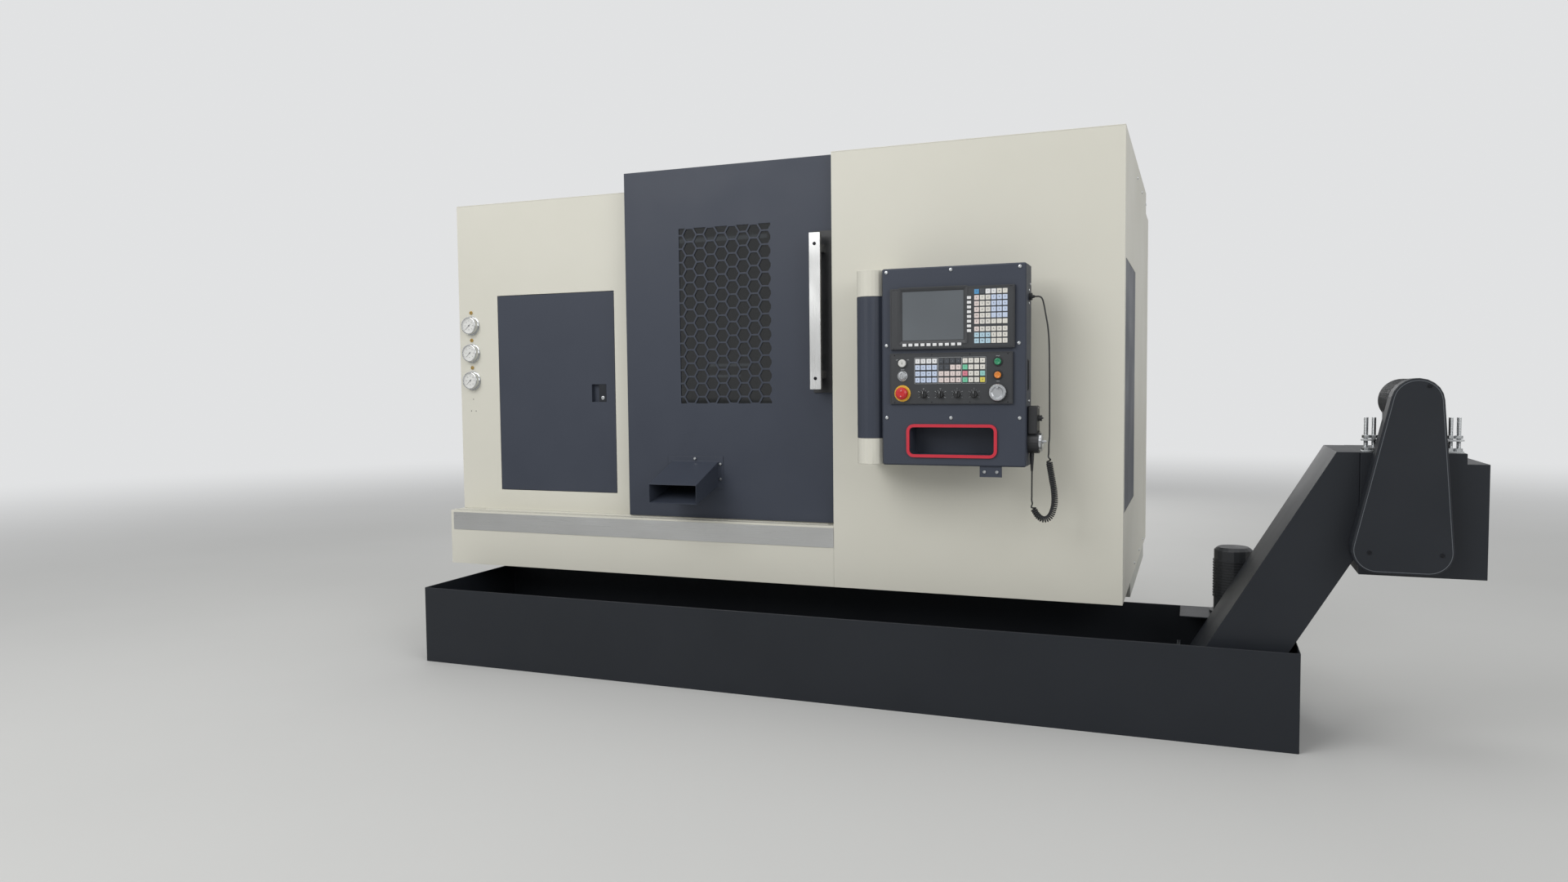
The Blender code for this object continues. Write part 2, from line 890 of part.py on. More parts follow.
def hexagon_grid(front, back):
    """The holes of the door's grille: hexagons with level tops, cut off at the edges of a rectangle."""
    radius = hex_across / math.sqrt(3)
    row = hex_across + hex_web
    column = row * math.sqrt(3) / 2
    low = (hex_left, hex_bottom)
    high = (hex_right, hex_top)
    shape = bmesh.new()
    for i in range(int((hex_right - hex_left) / column) + 2):
        for j in range(int((hex_top - hex_bottom) / row) + 2):
            centre = (hex_left + i * column, hex_bottom + (j + (i % 2) / 2) * row)
            loop = clipped(arc(centre, radius, 0, 300, 5), low, high)
            if len(loop) < 3 or area(loop) < hex_web * hex_web:
                continue
            verts = [shape.verts.new((x, front, z)) for x, z in loop]
            face = shape.faces.new(verts)
            raised = bmesh.ops.extrude_face_region(shape, geom=[face])["geom"]
            moved = [v for v in raised if isinstance(v, bmesh.types.BMVert)]
            bmesh.ops.translate(shape, vec=(0, back - front, 0), verts=moved)
    bmesh.ops.recalc_face_normals(shape, faces=shape.faces)
    return place("hexagons", mesh_of("hexagons", shape), (0, 0, 0), group=cutters)


def chute_section(inset, out, back):
    """The chute's side outline in y and z: level at the door's face and lower at its mouth."""
    slope_top = (chute_root_bottom + chute_root_height - chute_mouth_bottom - chute_mouth_height) / chute_reach
    slope_bottom = (chute_root_bottom - chute_mouth_bottom) / chute_reach
    mouth = door_front - chute_reach
    top = chute_mouth_bottom + chute_mouth_height - inset
    bottom = chute_mouth_bottom + inset
    return (
        (mouth - out, bottom - slope_bottom * out),
        (back, bottom + slope_bottom * (back - mouth)),
        (back, top + slope_top * (back - mouth)),
        (mouth - out, top - slope_top * out),
    )


def door_panel():
    """Pan of the sliding door, with the hexagon grille, the chute's opening and the grip's strip."""
    made = tray("door_panel", (door_left, door_front, door_bottom),
                (door_edge, door_front + door_depth, door_top), sheet, sheet)
    cut(made, hexagon_grid(door_front - overrun, door_front + sheet + overrun))
    low = (chute_left + chute_wall, door_front - overrun, chute_root_bottom + chute_inset)
    high = (chute_left + chute_width - chute_wall, door_front + sheet + overrun,
            chute_root_bottom + chute_root_height - chute_inset)
    cut(made, block("chute_opening", low, high, group=cutters))
    low = (grip_strip_left, door_front - grip_strip_thickness, handle_bottom - grip_strip_margin)
    high = (grip_strip_left + grip_strip_width, door_front + sheet / 2,
            handle_bottom + handle_length + grip_strip_margin)
    join(made, block("grip_strip", low, high, group=cutters))
    return finish(made, graphite)


def door_glass():
    front = door_front + sheet + seam
    low = (hex_left - glass_margin, front, hex_bottom - glass_margin)
    high = (hex_right + glass_margin, front + glass_thickness, hex_top + glass_margin)
    return finish(block("door_glass", low, high), glazing)


def door_handle():
    """Flat bar on two posts."""
    seat = door_front - grip_strip_thickness - seam
    front = seat - handle_reach
    top = handle_bottom + handle_length
    outline = (
        (front, handle_bottom),
        (front + handle_bar, handle_bottom),
        (front + handle_bar, handle_bottom + handle_inset),
        (seat, handle_bottom + handle_inset),
        (seat, handle_bottom + handle_inset + handle_post),
        (front + handle_bar, handle_bottom + handle_inset + handle_post),
        (front + handle_bar, top - handle_inset - handle_post),
        (seat, top - handle_inset - handle_post),
        (seat, top - handle_inset),
        (front + handle_bar, top - handle_inset),
        (front + handle_bar, top),
        (front, top),
    )
    return finish(prism("door_handle", outline, handle_left, handle_left + handle_width, "x"), silver)


def chip_chute():
    """Sloping sheet duct with a flange on the door's face."""
    face = door_front - seam
    made = prism("chip_chute", chute_section(0, 0, face), chute_left, chute_left + chute_width, "x")
    low = (chute_left - chute_flange_margin, face - chute_wall, chute_root_bottom - chute_flange_drop)
    high = (chute_left + chute_width + chute_flange_margin, face,
            chute_root_bottom + chute_root_height + chute_flange_margin)
    join(made, block("chute_flange", low, high, group=cutters))
    inner = prism("chute_inside", chute_section(chute_wall, overrun, door_front + overrun),
                  chute_left + chute_wall, chute_left + chute_width - chute_wall, "x", group=cutters)
    return finish(cut(made, inner), graphite)


def cabinet_door():
    """Flush leaf hinged at its left edge, with a cup for the latch."""
    high = (cabinet_left + cabinet_width, left_front + leaf_depth, cabinet_bottom + cabinet_height)
    made = tray("cabinet_door", (cabinet_left, left_front, cabinet_bottom), high, sheet, sheet,
                origin=(*cabinet_pin, cabinet_bottom))
    low = (latch_left - sheet, left_front + sheet / 2, latch_bottom - sheet)
    high = (latch_left + latch_width + sheet, left_front + latch_cup_depth + sheet,
            latch_bottom + latch_height + sheet)
    join(made, block("latch_cup", low, high, group=cutters))
    low = (latch_left, left_front - overrun, latch_bottom)
    high = (latch_left + latch_width, left_front + latch_cup_depth, latch_bottom + latch_height)
    cut(made, block("latch_recess", low, high, group=cutters))
    hinge_bores(made, cabinet_pin, cabinet_bottom, cabinet_bottom + cabinet_height)
    return finish(made, graphite)


def cabinet_latch():
    """Lift paddle that turns about a pin at its right edge."""
    radius = paddle_thickness / 2
    pin = (latch_left + latch_width - radius - seam, left_front + radius + paddle_inset)
    outline = arc(pin, radius, -90, 90, 6)
    outline += [(pin[0] - paddle_width + radius, pin[1] + radius), (pin[0] - paddle_width + radius, pin[1] - radius)]
    made = prism("cabinet_latch", outline, latch_bottom + seam, latch_bottom + latch_height - seam, "z",
                 origin=(*pin, latch_bottom))
    return finish(made, soot)


def side_door():
    """Flush leaf in the right side, hinged at its rear edge."""
    low = (width - leaf_depth, side_door_front, side_door_bottom)
    high = (width, side_door_front + side_door_width, side_door_bottom + side_door_height)
    made = block("side_door", low, high, (*side_pin, low[2]))
    hollow_low = (low[0] - overrun, low[1] + sheet, low[2] + sheet)
    hollow_high = (width - sheet, high[1] - sheet, high[2] - sheet)
    cut(made, block("side_door_hollow", hollow_low, hollow_high, group=cutters))
    hinge_bores(made, side_pin, low[2], high[2])
    return finish(made, graphite)


def gauge(name, z):
    """Dial gauge in a polished case with a mounting flange and a dished glass."""
    profile = [
        (0, gauge_height - gauge_dish),
        (gauge_radius - gauge_rim, gauge_height - gauge_dish),
        (gauge_radius - gauge_rim, gauge_height),
        (gauge_radius, gauge_height - gauge_dish / 2),
        (gauge_radius, gauge_flange_thickness),
        (gauge_flange_radius, gauge_flange_thickness),
        (gauge_flange_radius, 0),
        (0, 0),
    ]
    return finish(turned(name, profile, 16, (gauge_x, left_front - seam, z), "-y"), chrome, smooth=True)


def bed():
    """Slanted casting with two ways, screw bearings, a wide base and levelling feet."""
    c, s = math.cos(slant), math.sin(slant)

    def sloped(along, rise):
        return (spindle_y + along * c - rise * s, spindle_z + along * s + rise * c)

    outline = (
        (bed_front, bed_foot),
        (bed_back, bed_foot),
        (bed_back, sloped(bed_high, bed_face)[1]),
        sloped(bed_high, bed_face),
        sloped(-bed_low, bed_face),
        (bed_front, bed_shoulder),
    )
    made = prism("bed", outline, bed_left, bed_right, "x")
    low = (0, bed_front + seam, skirt_height - seam - base_thickness)
    join(made, block("base", low, (width, depth, skirt_height - seam), group=cutters))
    for index, across in enumerate((lower_way, upper_way)):
        low = (way_left, across, bed_face - overrun)
        high = (way_right, across + way_width, way_top)
        join(made, block("way_%d" % index, low, high, carrier=slope, group=cutters))
    for index, x in enumerate((bearing_left, bearing_right)):
        low = (x, screw_across - bearing_width / 2, bed_face - overrun)
        high = (x + bearing_length, screw_across + bearing_width / 2, bed_face + bearing_height)
        join(made, block("bearing_%d" % index, low, high, carrier=slope, group=cutters))
    reach = bearing_right + bearing_length - bearing_left
    bore = rod(screw_radius + screw_clearance, reach + overrun, -overrun)
    at = (bearing_left, screw_across, way_top + screw_rise)
    cut(made, turned("screw_bore", bore, 16, at, "+x", carrier=slope, group=cutters))
    foot = [(0, bed_foot + overrun), (foot_stem_radius, bed_foot + overrun), (foot_stem_radius, foot_pad),
            (foot_radius, foot_pad), (foot_radius, 0), (0, 0)]
    for index, x in enumerate((bed_left + foot_inset_along, (bed_left + bed_right) / 2,
                               bed_right - foot_inset_along)):
        for side, y in enumerate((bed_front + foot_inset_across, bed_back - foot_inset_across)):
            join(made, turned("foot_%d_%d" % (index, side), foot, 10, (x, y, 0), group=cutters))
    return finish(made, casting)


def headstock():
    """Casting with a round top, seated on the ways and bored for the spindle."""
    outline = [(-headstock_radius, way_top + seam), (headstock_radius, way_top + seam)]
    outline += arc((0, 0), headstock_radius, 0, 180, 16)
    made = prism("headstock", outline, headstock_left, headstock_right, "x", carrier=slope)
    reach = headstock_right - headstock_left
    bore = rod(spindle_radius + spindle_clearance, reach + overrun, -overrun)
    cut(made, turned("spindle_bore", bore, 24, (headstock_left, 0, 0), "+x", carrier=slope, group=cutters))
    return finish(made, casting)


def chuck():
    """Spindle with its pulley, and the power chuck with a bore through both."""
    back = headstock_left - pulley_gap - pulley_width
    nose = headstock_right + seam
    face = nose + chuck_plate + chuck_length
    groove = pulley_radius - pulley_groove
    flank = pulley_width * groove_share
    profile = [
        (chuck_bore, face),
        (chuck_radius - chuck_chamfer, face),
        (chuck_radius, face - chuck_chamfer),
        (chuck_radius, nose + chuck_plate),
        (chuck_plate_radius, nose + chuck_plate),
        (chuck_plate_radius, nose),
        (spindle_radius, nose),
        (spindle_radius, back + pulley_width),
        (pulley_radius, back + pulley_width),
        (groove, back + pulley_width - flank),
        (groove, back + flank),
        (pulley_radius, back),
        (chuck_bore, back),
        (chuck_bore, face),
    ]
    made = turned("chuck", profile, 24, (0, 0, 0), "+x", carrier=slope)
    return finish(made, steel, smooth=True)


def jaws():
    """Stepped top jaws at equal angles on the chuck's face."""
    face = headstock_right + seam + chuck_plate + chuck_length + seam
    half = jaw_width / 2
    made = []
    for index in range(jaw_count):
        frame = bpy.data.objects.new("jaw_frame_%d" % (index + 1), None)
        frame.parent = slope
        frame.rotation_euler.x = math.radians(360 * index / jaw_count)
        parts.objects.link(frame)
        outline = (
            (face, jaw_inner),
            (face, jaw_inner + jaw_length),
            (face + jaw_height / 2, jaw_inner + jaw_length),
            (face + jaw_height / 2, jaw_inner + jaw_step),
            (face + jaw_height, jaw_inner + jaw_step),
            (face + jaw_height, jaw_inner),
        )
        made.append(finish(prism("jaw_%d" % (index + 1), outline, -half, half, "y", carrier=frame), steel))
    return made


def spindle_motor():
    """Motor on the back of the bed, with its foot and end bell."""
    seat = spindle_z + bed_high * math.sin(slant) + bed_face * math.cos(slant) + seam
    middle = (bed_back + spindle_y + bed_high * math.cos(slant) - bed_face * math.sin(slant)) / 2
    centre = seat + motor_radius + motor_end_length / 2
    profile = [
        (0, motor_length),
        (motor_end_radius, motor_length),
        (motor_radius, motor_length - motor_end_length),
        (motor_radius, 0),
        (motor_end_radius, 0),
        (motor_end_radius, -motor_end_length),
        (0, -motor_end_length),
    ]
    made = turned("spindle_motor", profile, 24, (motor_left, middle, centre), "+x")
    half = motor_foot / 2
    low = (motor_left + motor_end_length, middle - half, seat)
    high = (motor_left + motor_length - motor_end_length, middle + half, centre)
    foot = block("motor_foot", low, high, group=cutters)
    join(made, foot)
    return finish(made, motor_black, smooth=True)


def z_screw():
    """Ball screw of the long axis, held in the bed's two bearings."""
    end = bearing_right + bearing_length - bearing_left
    profile = rod(screw_radius, end, 0)
    at = (bearing_left, screw_across, way_top + screw_rise)
    return finish(turned("z_screw", profile, 16, at, "+x", carrier=slope), steel, smooth=True)


def screw_channel(name, start, length):
    """The room along the underside of what slides on the ways, for the screw between them."""
    low = (start - overrun, screw_across - channel_half, way_top - overrun)
    high = (start + length + overrun, screw_across + channel_half, way_top + screw_rise + channel_rise)
    return block(name, low, high, carrier=slope, group=cutters)


def carriage():
    """Saddle on the two ways, with its nut on the screw."""
    low = (carriage_left, carriage_low, way_top + seam)
    high = (carriage_left + carriage_length, carriage_high, way_top + carriage_height)
    made = block("carriage", low, high, carrier=slope)
    cut(made, screw_channel("saddle_channel", carriage_left, carriage_length))
    middle = way_top + screw_rise
    low = (carriage_left, screw_across - nut_half, middle - nut_half)
    high = (carriage_left + nut_length, screw_across + nut_half, middle + channel_rise + overrun)
    join(made, block("nut", low, high, carrier=slope, group=cutters))
    bore = rod(screw_radius + screw_clearance, nut_length + overrun, -overrun)
    at = (carriage_left, screw_across, middle)
    cut(made, turned("nut_bore", bore, 16, at, "+x", carrier=slope, group=cutters))
    return finish(made, casting)


def cross_slide():
    """Slide across the saddle, cast with the turret's housing."""
    base = way_top + carriage_height + seam
    right = cross_left + cross_length
    made = block("cross_slide", (cross_left, cross_low, base), (right, cross_high, base + cross_height), carrier=slope)
    left = turret_left + turret_width + seam
    outline = rounded((turret_across - housing_half, base + cross_height / 2),
                      (turret_across + housing_half, housing_top), housing_corner, 3)
    housing = prism("turret_housing", outline, left, right, "x", carrier=slope, group=cutters)
    join(made, housing)
    return finish(made, casting)


def turret_disc():
    """Indexing disc with a tool holder at each of its stations."""
    sides = turret_stations
    flat = turret_radius / math.cos(math.pi / sides)
    outline = arc((turret_across, 0), flat, 180 / sides, 180 / sides + 360 * (sides - 1) / sides, sides - 1)
    right = turret_left + turret_width
    made = prism("turret_disc", outline, turret_left, right, "x", origin=(0, turret_across, 0), carrier=slope)
    for index in range(sides):
        frame = bpy.data.objects.new("holder_frame_%d" % index, None)
        frame.parent = slope
        frame.location = (0, turret_across, 0)
        frame.rotation_euler.x = 2 * math.pi * index / sides
        parts.objects.link(frame)
        low = (turret_left + holder_inset, -holder_width / 2, turret_radius - overrun)
        high = (right - holder_inset, holder_width / 2, turret_radius + holder_height)
        join(made, block("holder_%d" % index, low, high, carrier=frame, group=cutters))
    return finish(made, steel)


def tailstock():
    """Casting on the ways with a barrel on the spindle line and a passage for the screw."""
    right = tailstock_left + tailstock_length
    base = way_top + seam
    low = (tailstock_left, carriage_low, base)
    high = (right, carriage_high, way_top + carriage_height)
    made = block("tailstock", low, high, carrier=slope)
    outline = [(-tailstock_neck, base + carriage_height / 2), (tailstock_neck, base + carriage_height / 2)]
    outline += arc((0, 0), barrel_radius, 0, 180, 12)
    join(made, prism("barrel", outline, tailstock_left, right, "x", carrier=slope, group=cutters))
    bore = rod(quill_radius + quill_clearance, tailstock_length + overrun, -overrun)
    cut(made, turned("quill_bore", bore, 24, (tailstock_left, 0, 0), "+x", carrier=slope, group=cutters))
    cut(made, screw_channel("tailstock_channel", tailstock_left, tailstock_length))
    return finish(made, casting)


def quill():
    """Tailstock quill with its centre."""
    length = quill_reach + quill_inside
    profile = [
        (0, length),
        (quill_radius, length),
        (quill_radius, 0),
        (quill_radius / 2, 0),
        (0, -centre_length),
    ]
    at = (tailstock_left - quill_reach, 0, 0)
    return finish(turned("quill", profile, 24, at, "+x", carrier=slope), steel, smooth=True)


def hydraulic_unit():
    """Oil tank with its motor and pump standing on it."""
    base = sill_height + seam
    low = (hydraulic_left, hydraulic_front, base)
    high = (hydraulic_left + hydraulic_width, hydraulic_front + hydraulic_depth, base + hydraulic_height)
    made = block("hydraulic_unit", low, high)
    at = (hydraulic_left + hydraulic_width / 2, hydraulic_front + hydraulic_depth / 2, high[2])
    join(made, turned("pump_motor", rod(pump_motor_radius, pump_motor_height, -overrun), 20, at, group=cutters))
    return finish(made, casting)


def coolant_tank():
    """Open tank below the machine's front, with a cover for the pump at its rear right corner."""
    low = (tank_left, tank_front, 0)
    high = (tank_right, tank_front + tank_depth, tank_height)
    made = block("coolant_tank", low, high)
    inner_low = (low[0] + tank_wall, low[1] + tank_wall, tank_wall)
    inner_high = (high[0] - tank_wall, high[1] - tank_wall, tank_height + overrun)
    cut(made, block("tank_inside", inner_low, inner_high, group=cutters))
    low = (high[0] - cover_length, conveyor_front + conveyor_width + overrun, tank_height - tank_wall)
    join(made, block("tank_cover", low, high, group=cutters))
    return finish(made, soot)


def coolant_pump():
    """Upright pump on the tank's cover."""
    at = (tank_right - cover_length / 2, tank_front + tank_depth - pump_inset - tank_wall,
          tank_height + seam)
    profile = [
        (0, pump_height),
        (pump_radius * pump_cap_share, pump_height),
        (pump_radius, pump_height - pump_flange),
        (pump_radius, pump_flange),
        (pump_flange_radius, pump_flange),
        (pump_flange_radius, 0),
        (0, 0),
    ]
    return finish(turned("coolant_pump", profile, 20, at, "+z"), motor_black, smooth=True)


def incline_section(inset, start, end):
    """The incline housing's side outline in x and z, from the trough's flange up to the head."""
    rise = math.tan(incline_angle)
    thick = (conveyor_trough - 2 * inset) / math.cos(incline_angle / 2)
    lean = Vector((-math.sin(incline_angle / 2), math.cos(incline_angle / 2)))
    foot = Vector((incline_foot, conveyor_floor)) + lean * inset / math.cos(incline_angle / 2)
    bend = foot + lean * thick
    ceiling = head_bottom + head_height - inset
    return (
        (start, foot.y),
        tuple(foot),
        (end, foot.y + (end - foot.x) * rise),
        (end, ceiling),
        (bend.x + (ceiling - bend.y) / rise, ceiling),
        tuple(bend),
        (start, bend.y),
    )


def conveyor_collar(name, start, end):
    """The bolted flange around the sides and top of the conveyor's housing."""
    low = (start, conveyor_front - conveyor_flange, conveyor_floor)
    back = conveyor_front + conveyor_width + conveyor_flange
    return block(name, low, (end, back, conveyor_floor + conveyor_trough + conveyor_flange), group=cutters)


def conveyor_trough_body():
    """Sheet trough of the chip conveyor, open along its top, with a flange towards the incline."""
    back = conveyor_front + conveyor_width
    end = incline_foot - incline_level - seam
    made = block("conveyor_trough", (conveyor_left, conveyor_front, conveyor_floor),
                 (end, back, conveyor_floor + conveyor_trough))
    join(made, conveyor_collar("trough_flange", end - flange_thickness, end))
    low = (conveyor_left + conveyor_wall, conveyor_front + conveyor_wall, conveyor_floor + conveyor_wall)
    high = (end + overrun, back - conveyor_wall, conveyor_floor + conveyor_trough - conveyor_wall)
    cut(made, block("conveyor_inside", low, high, group=cutters))
    low = (low[0], low[1], conveyor_floor + conveyor_trough / 2)
    high = (incline_foot - conveyor_lip, high[1], conveyor_floor + conveyor_trough + overrun)
    cut(made, block("conveyor_mouth", low, high, group=cutters))
    return finish(made, soot)


def conveyor_incline():
    """Closed sheet housing that rises from the trough's flange to the head, open at both ends."""
    start = incline_foot - incline_level
    end = incline_top_x - seam
    back = conveyor_front + conveyor_width
    made = prism("conveyor_incline", incline_section(0, start, end), conveyor_front, back, "y")
    join(made, conveyor_collar("incline_flange", start, start + flange_thickness))
    inner = incline_section(conveyor_wall, start - overrun, end + overrun)
    cut(made, prism("incline_inside", inner, conveyor_front + conveyor_wall, back - conveyor_wall, "y",
                    group=cutters))
    return finish(made, soot)


def conveyor_head():
    """Drive box at the top of the incline, with a lower hood, open to the incline and downwards for the chips."""
    front = conveyor_front - head_margin
    back = conveyor_front + conveyor_width + head_margin
    wall = conveyor_wall
    ceiling = head_bottom + head_height
    left = incline_top_x
    right = incline_top_x + head_width
    made = prism("conveyor_head", (
        (left, head_bottom),
        (right, head_bottom),
        (right, ceiling - hood_drop),
        (right - hood_width, ceiling - hood_drop),
        (right - hood_width, ceiling),
        (left, ceiling),
    ), front, back, "y")
    cut(made, prism("head_inside", (
        (left + wall, head_bottom - overrun),
        (right - wall, head_bottom - overrun),
        (right - wall, ceiling - hood_drop - wall),
        (right - hood_width - wall, ceiling - hood_drop - wall),
        (right - hood_width - wall, ceiling - wall),
        (left + wall, ceiling - wall),
    ), front + wall, back - wall, "y", group=cutters))
    section = incline_section(wall, incline_foot, left - seam)
    low = (left - overrun, conveyor_front + wall, section[2][1])
    high = (left + overrun, conveyor_front + conveyor_width - wall, section[3][1])
    cut(made, block("head_mouth", low, high, group=cutters))
    return finish(made, soot)


def chain_guard():
    """Tapered cover over the drive chain: a small round top and a wide foot with round corners."""
    top = (guard_centre, guard_bottom + guard_height - guard_top_radius)
    foot = guard_centre - guard_lean
    left = (foot - guard_bottom_half + guard_corner, guard_bottom + guard_corner)
    right = (foot + guard_bottom_half - guard_corner, guard_bottom + guard_corner)
    left_tilt = math.degrees(math.atan2(top[0] - left[0], top[1] - left[1]))
    right_tilt = math.degrees(math.atan2(right[0] - top[0], top[1] - right[1]))
    outline = arc(top, guard_top_radius, right_tilt, 180 - left_tilt, 10)
    outline += arc(left, guard_corner, 180 - left_tilt, 270, 5)
    outline += arc(right, guard_corner, 270, 360 + right_tilt, 5)
    back = conveyor_front - head_margin - seam
    made = prism("chain_guard", outline, back - guard_depth, back, "y")
    edge = made.modifiers.new("edge", "BEVEL")
    edge.width = guard_edge
    edge.segments = 1
    edge.limit_method = "ANGLE"
    edge.angle_limit = math.radians(60)
    return finish(made, soot)


def conveyor_motor():
    """Geared motor across the top of the head, with its foot."""
    seat = head_bottom + head_height + seam
    centre = guard_bottom + guard_height - guard_top_radius
    start = conveyor_front - head_margin + seam
    profile = [
        (0, drive_length),
        (drive_radius / 2, drive_length),
        (drive_radius, drive_length - drive_chamfer),
        (drive_radius, 0),
        (0, 0),
    ]
    made = turned("conveyor_motor", profile, 20, (guard_centre, start, centre), "+y")
    half = drive_foot / 2
    low = (guard_centre - half, start, seat)
    high = (guard_centre + half, start + drive_length * drive_foot_share, centre)
    join(made, block("drive_foot", low, high, group=cutters))
    return finish(made, motor_black, smooth=True)


def hub_outline(radius, back):
    """A round front and straight sides running back to a plane, in x and y."""
    return [(post_x - radius, back)] + arc((post_x, post_y), radius, 180, 360, 12) + [(post_x + radius, back)]


def swivel_post():
    """Two hubs on the right-hand panel, joined by the pin that the control station turns on."""
    top = box_bottom + box_height + seam
    made = prism("swivel_post", hub_outline(hub_radius, -seam), box_bottom, box_bottom + hub_height, "z")
    join(made, prism("hub_top", hub_outline(hub_radius, -seam), top - hub_height, top, "z", group=cutters))
    pin = rod(post_radius, top - hub_height + overrun, box_bottom + hub_height - overrun)
    join(made, turned("post_pin", pin, 16, (post_x, post_y, 0), group=cutters))
    return finish(made, cream)


def face_block(name, offset, rise, across, tall, back, front, group=None):
    """A box on the control box's face, between two distances in front of it."""
    low = (box_left + offset, box_front - front, box_bottom + rise)
    high = (box_left + offset + across, box_front - back, box_bottom + rise + tall)
    return block(name, low, high, group=group)


def control_box():
    """Folded box with the tray's hollow, welded to the tube that turns on the swivel's pin."""
    low = (box_left, box_front, box_bottom)
    made = block("control_box", low, (box_right, box_back, box_bottom + box_height), (post_x, post_y, box_bottom))
    edge = made.modifiers.new("edge", "BEVEL")
    edge.width = box_edge
    edge.segments = 1
    bottom = box_bottom + hub_height + hub_gap
    top = box_bottom + box_height + seam - hub_height - hub_gap
    outline = hub_outline(hub_radius, post_y + hub_radius)
    column = prism("swivel_column", outline, bottom, top, "z", group=cutters)
    join(made, column)
    link_low = (post_x + hub_radius / 2, post_y - hub_radius / 2, bottom)
    link_high = (box_left + box_edge * 2, post_y + hub_radius / 2, top)
    join(made, block("column_link", link_low, link_high, group=cutters))
    bore = rod(post_radius + post_clearance, top + overrun, bottom - overrun)
    cut(made, turned("column_bore", bore, 24, (post_x, post_y, 0), group=cutters))
    inner = rounded((box_left + tray_offset + trim_width, box_bottom + tray_rise + trim_width),
                    (box_left + tray_offset + tray_width - trim_width, box_bottom + tray_rise + tray_height - trim_width),
                    tray_corner - trim_width)
    cut(made, prism("tray_hollow", inner, box_front - overrun, box_front + tray_depth, "y", group=cutters))
    low = (box_left + bracket_offset, box_front + bracket_inset, box_bottom - bracket_drop)
    high = (low[0] + bracket_width, low[1] + bracket_thickness, box_bottom + box_edge)
    join(made, block("bracket", low, high, group=cutters))
    return finish(made, graphite)


def tray_trim():
    """Round-cornered frame around the tray's opening."""
    low = (box_left + tray_offset, box_bottom + tray_rise)
    high = (low[0] + tray_width, low[1] + tray_height)
    inner_low = (low[0] + trim_width, low[1] + trim_width)
    inner_high = (high[0] - trim_width, high[1] - trim_width)
    loops = (rounded(low, high, tray_corner), rounded(inner_low, inner_high, tray_corner - trim_width))
    front = box_front - seam - trim_thickness
    return finish(prism("tray_trim", loops, front, box_front - seam, "y"), red)


def key_box(offset, rise, across, tall, face):
    """The corners of one key around its centre, standing on a face in front of the box."""
    x, z = box_left + offset, box_bottom + rise
    return ((x - across / 2, face - key_height, z - tall / 2), (x + across / 2, face + key_root, z + tall / 2))


def nc_unit():
    """Display unit with the screen's recess, its key block and two rows of soft keys."""
    made = face_block("nc_unit", display_offset, display_rise, display_width, display_height, seam,
                      seam + display_thickness)
    face = box_front - seam - display_thickness
    cut(made, face_block("screen_recess", screen_offset, screen_rise, screen_width, screen_height,
                         seam + display_thickness - screen_recess, seam + display_thickness + overrun,
                         group=cutters))
    keys = []
    for column in range(key_columns):
        for row in range(key_rows):
            gap = key_block_gap if row >= key_block_rows else 0
            rise = key_first_rise - row * key_pitch_z - gap + key_block_gap / 2
            keys.append(key_box(key_first_offset + column * key_pitch_x, rise, key_size, key_size, face))
    for index in range(soft_row_count):
        offset = soft_row_offset + index * soft_row_pitch
        keys.append(key_box(offset, soft_row_rise, soft_key_width, soft_key_height, face))
    for index in range(soft_column_count):
        rise = soft_column_rise - index * soft_column_pitch
        keys.append(key_box(soft_column_offset, rise, soft_key_width, soft_key_height, face))
    join(made, blocks("nc_keys", keys, group=cutters))
    return finish(made, panel_grey)


def nc_screen():
    front = seam + display_thickness - screen_recess
    made = face_block("nc_screen", screen_offset + seam, screen_rise + seam, screen_width - 2 * seam,
                      screen_height - 2 * seam, front + seam, front + seam + screen_thickness)
    return finish(made, display)


def face_rods(name, rods):
    """Separate upright cylinders on the operator panel: offset, rise, radius, and how far out and in each runs."""
    shape = bmesh.new()
    for offset, rise, radius, out, into in rods:
        at = Vector((box_left + offset, panel_face + (into - out) / 2, box_bottom + rise))
        matrix = Matrix.Translation(at) @ TOWARDS["-y"].to_4x4()
        bmesh.ops.create_cone(shape, cap_ends=True, segments=20, radius1=radius, radius2=radius, depth=out + into,
                              matrix=matrix)
    return place(name, mesh_of(name, shape), (0, 0, 0), group=cutters)


def operator_panel():
    """Panel with its keys, and the bores and bezels of the buttons."""
    made = face_block("operator_panel", panel_offset, panel_rise, panel_width, panel_height, seam,
                      seam + panel_thickness)
    keys = []
    for group in range(panel_key_groups):
        for column in range(panel_group_columns):
            offset = panel_key_offset + group * panel_group_pitch + column * panel_key_pitch
            for row in range(panel_key_rows):
                rise = panel_key_rise - row * panel_row_pitch
                keys.append(key_box(offset, rise, panel_key, panel_key, panel_face))
    bore = button_radius + button_clearance
    stem_bore = stop_stem + button_clearance
    bezels = [(buttons_offset, rise, bore + bezel_width, bezel_height, key_root) for rise in (start_rise, hold_rise)]
    join(made, face_rods("bezels", bezels))
    through = panel_thickness + overrun
    bores = [(buttons_offset, rise, bore, overrun, through) for rise in (start_rise, hold_rise)]
    bores.append((switches_offset, stop_rise, stem_bore, overrun, through))
    cut(made, face_rods("bores", bores))
    join(made, blocks("panel_keys", keys, group=cutters))
    return finish(made, panel_grey)


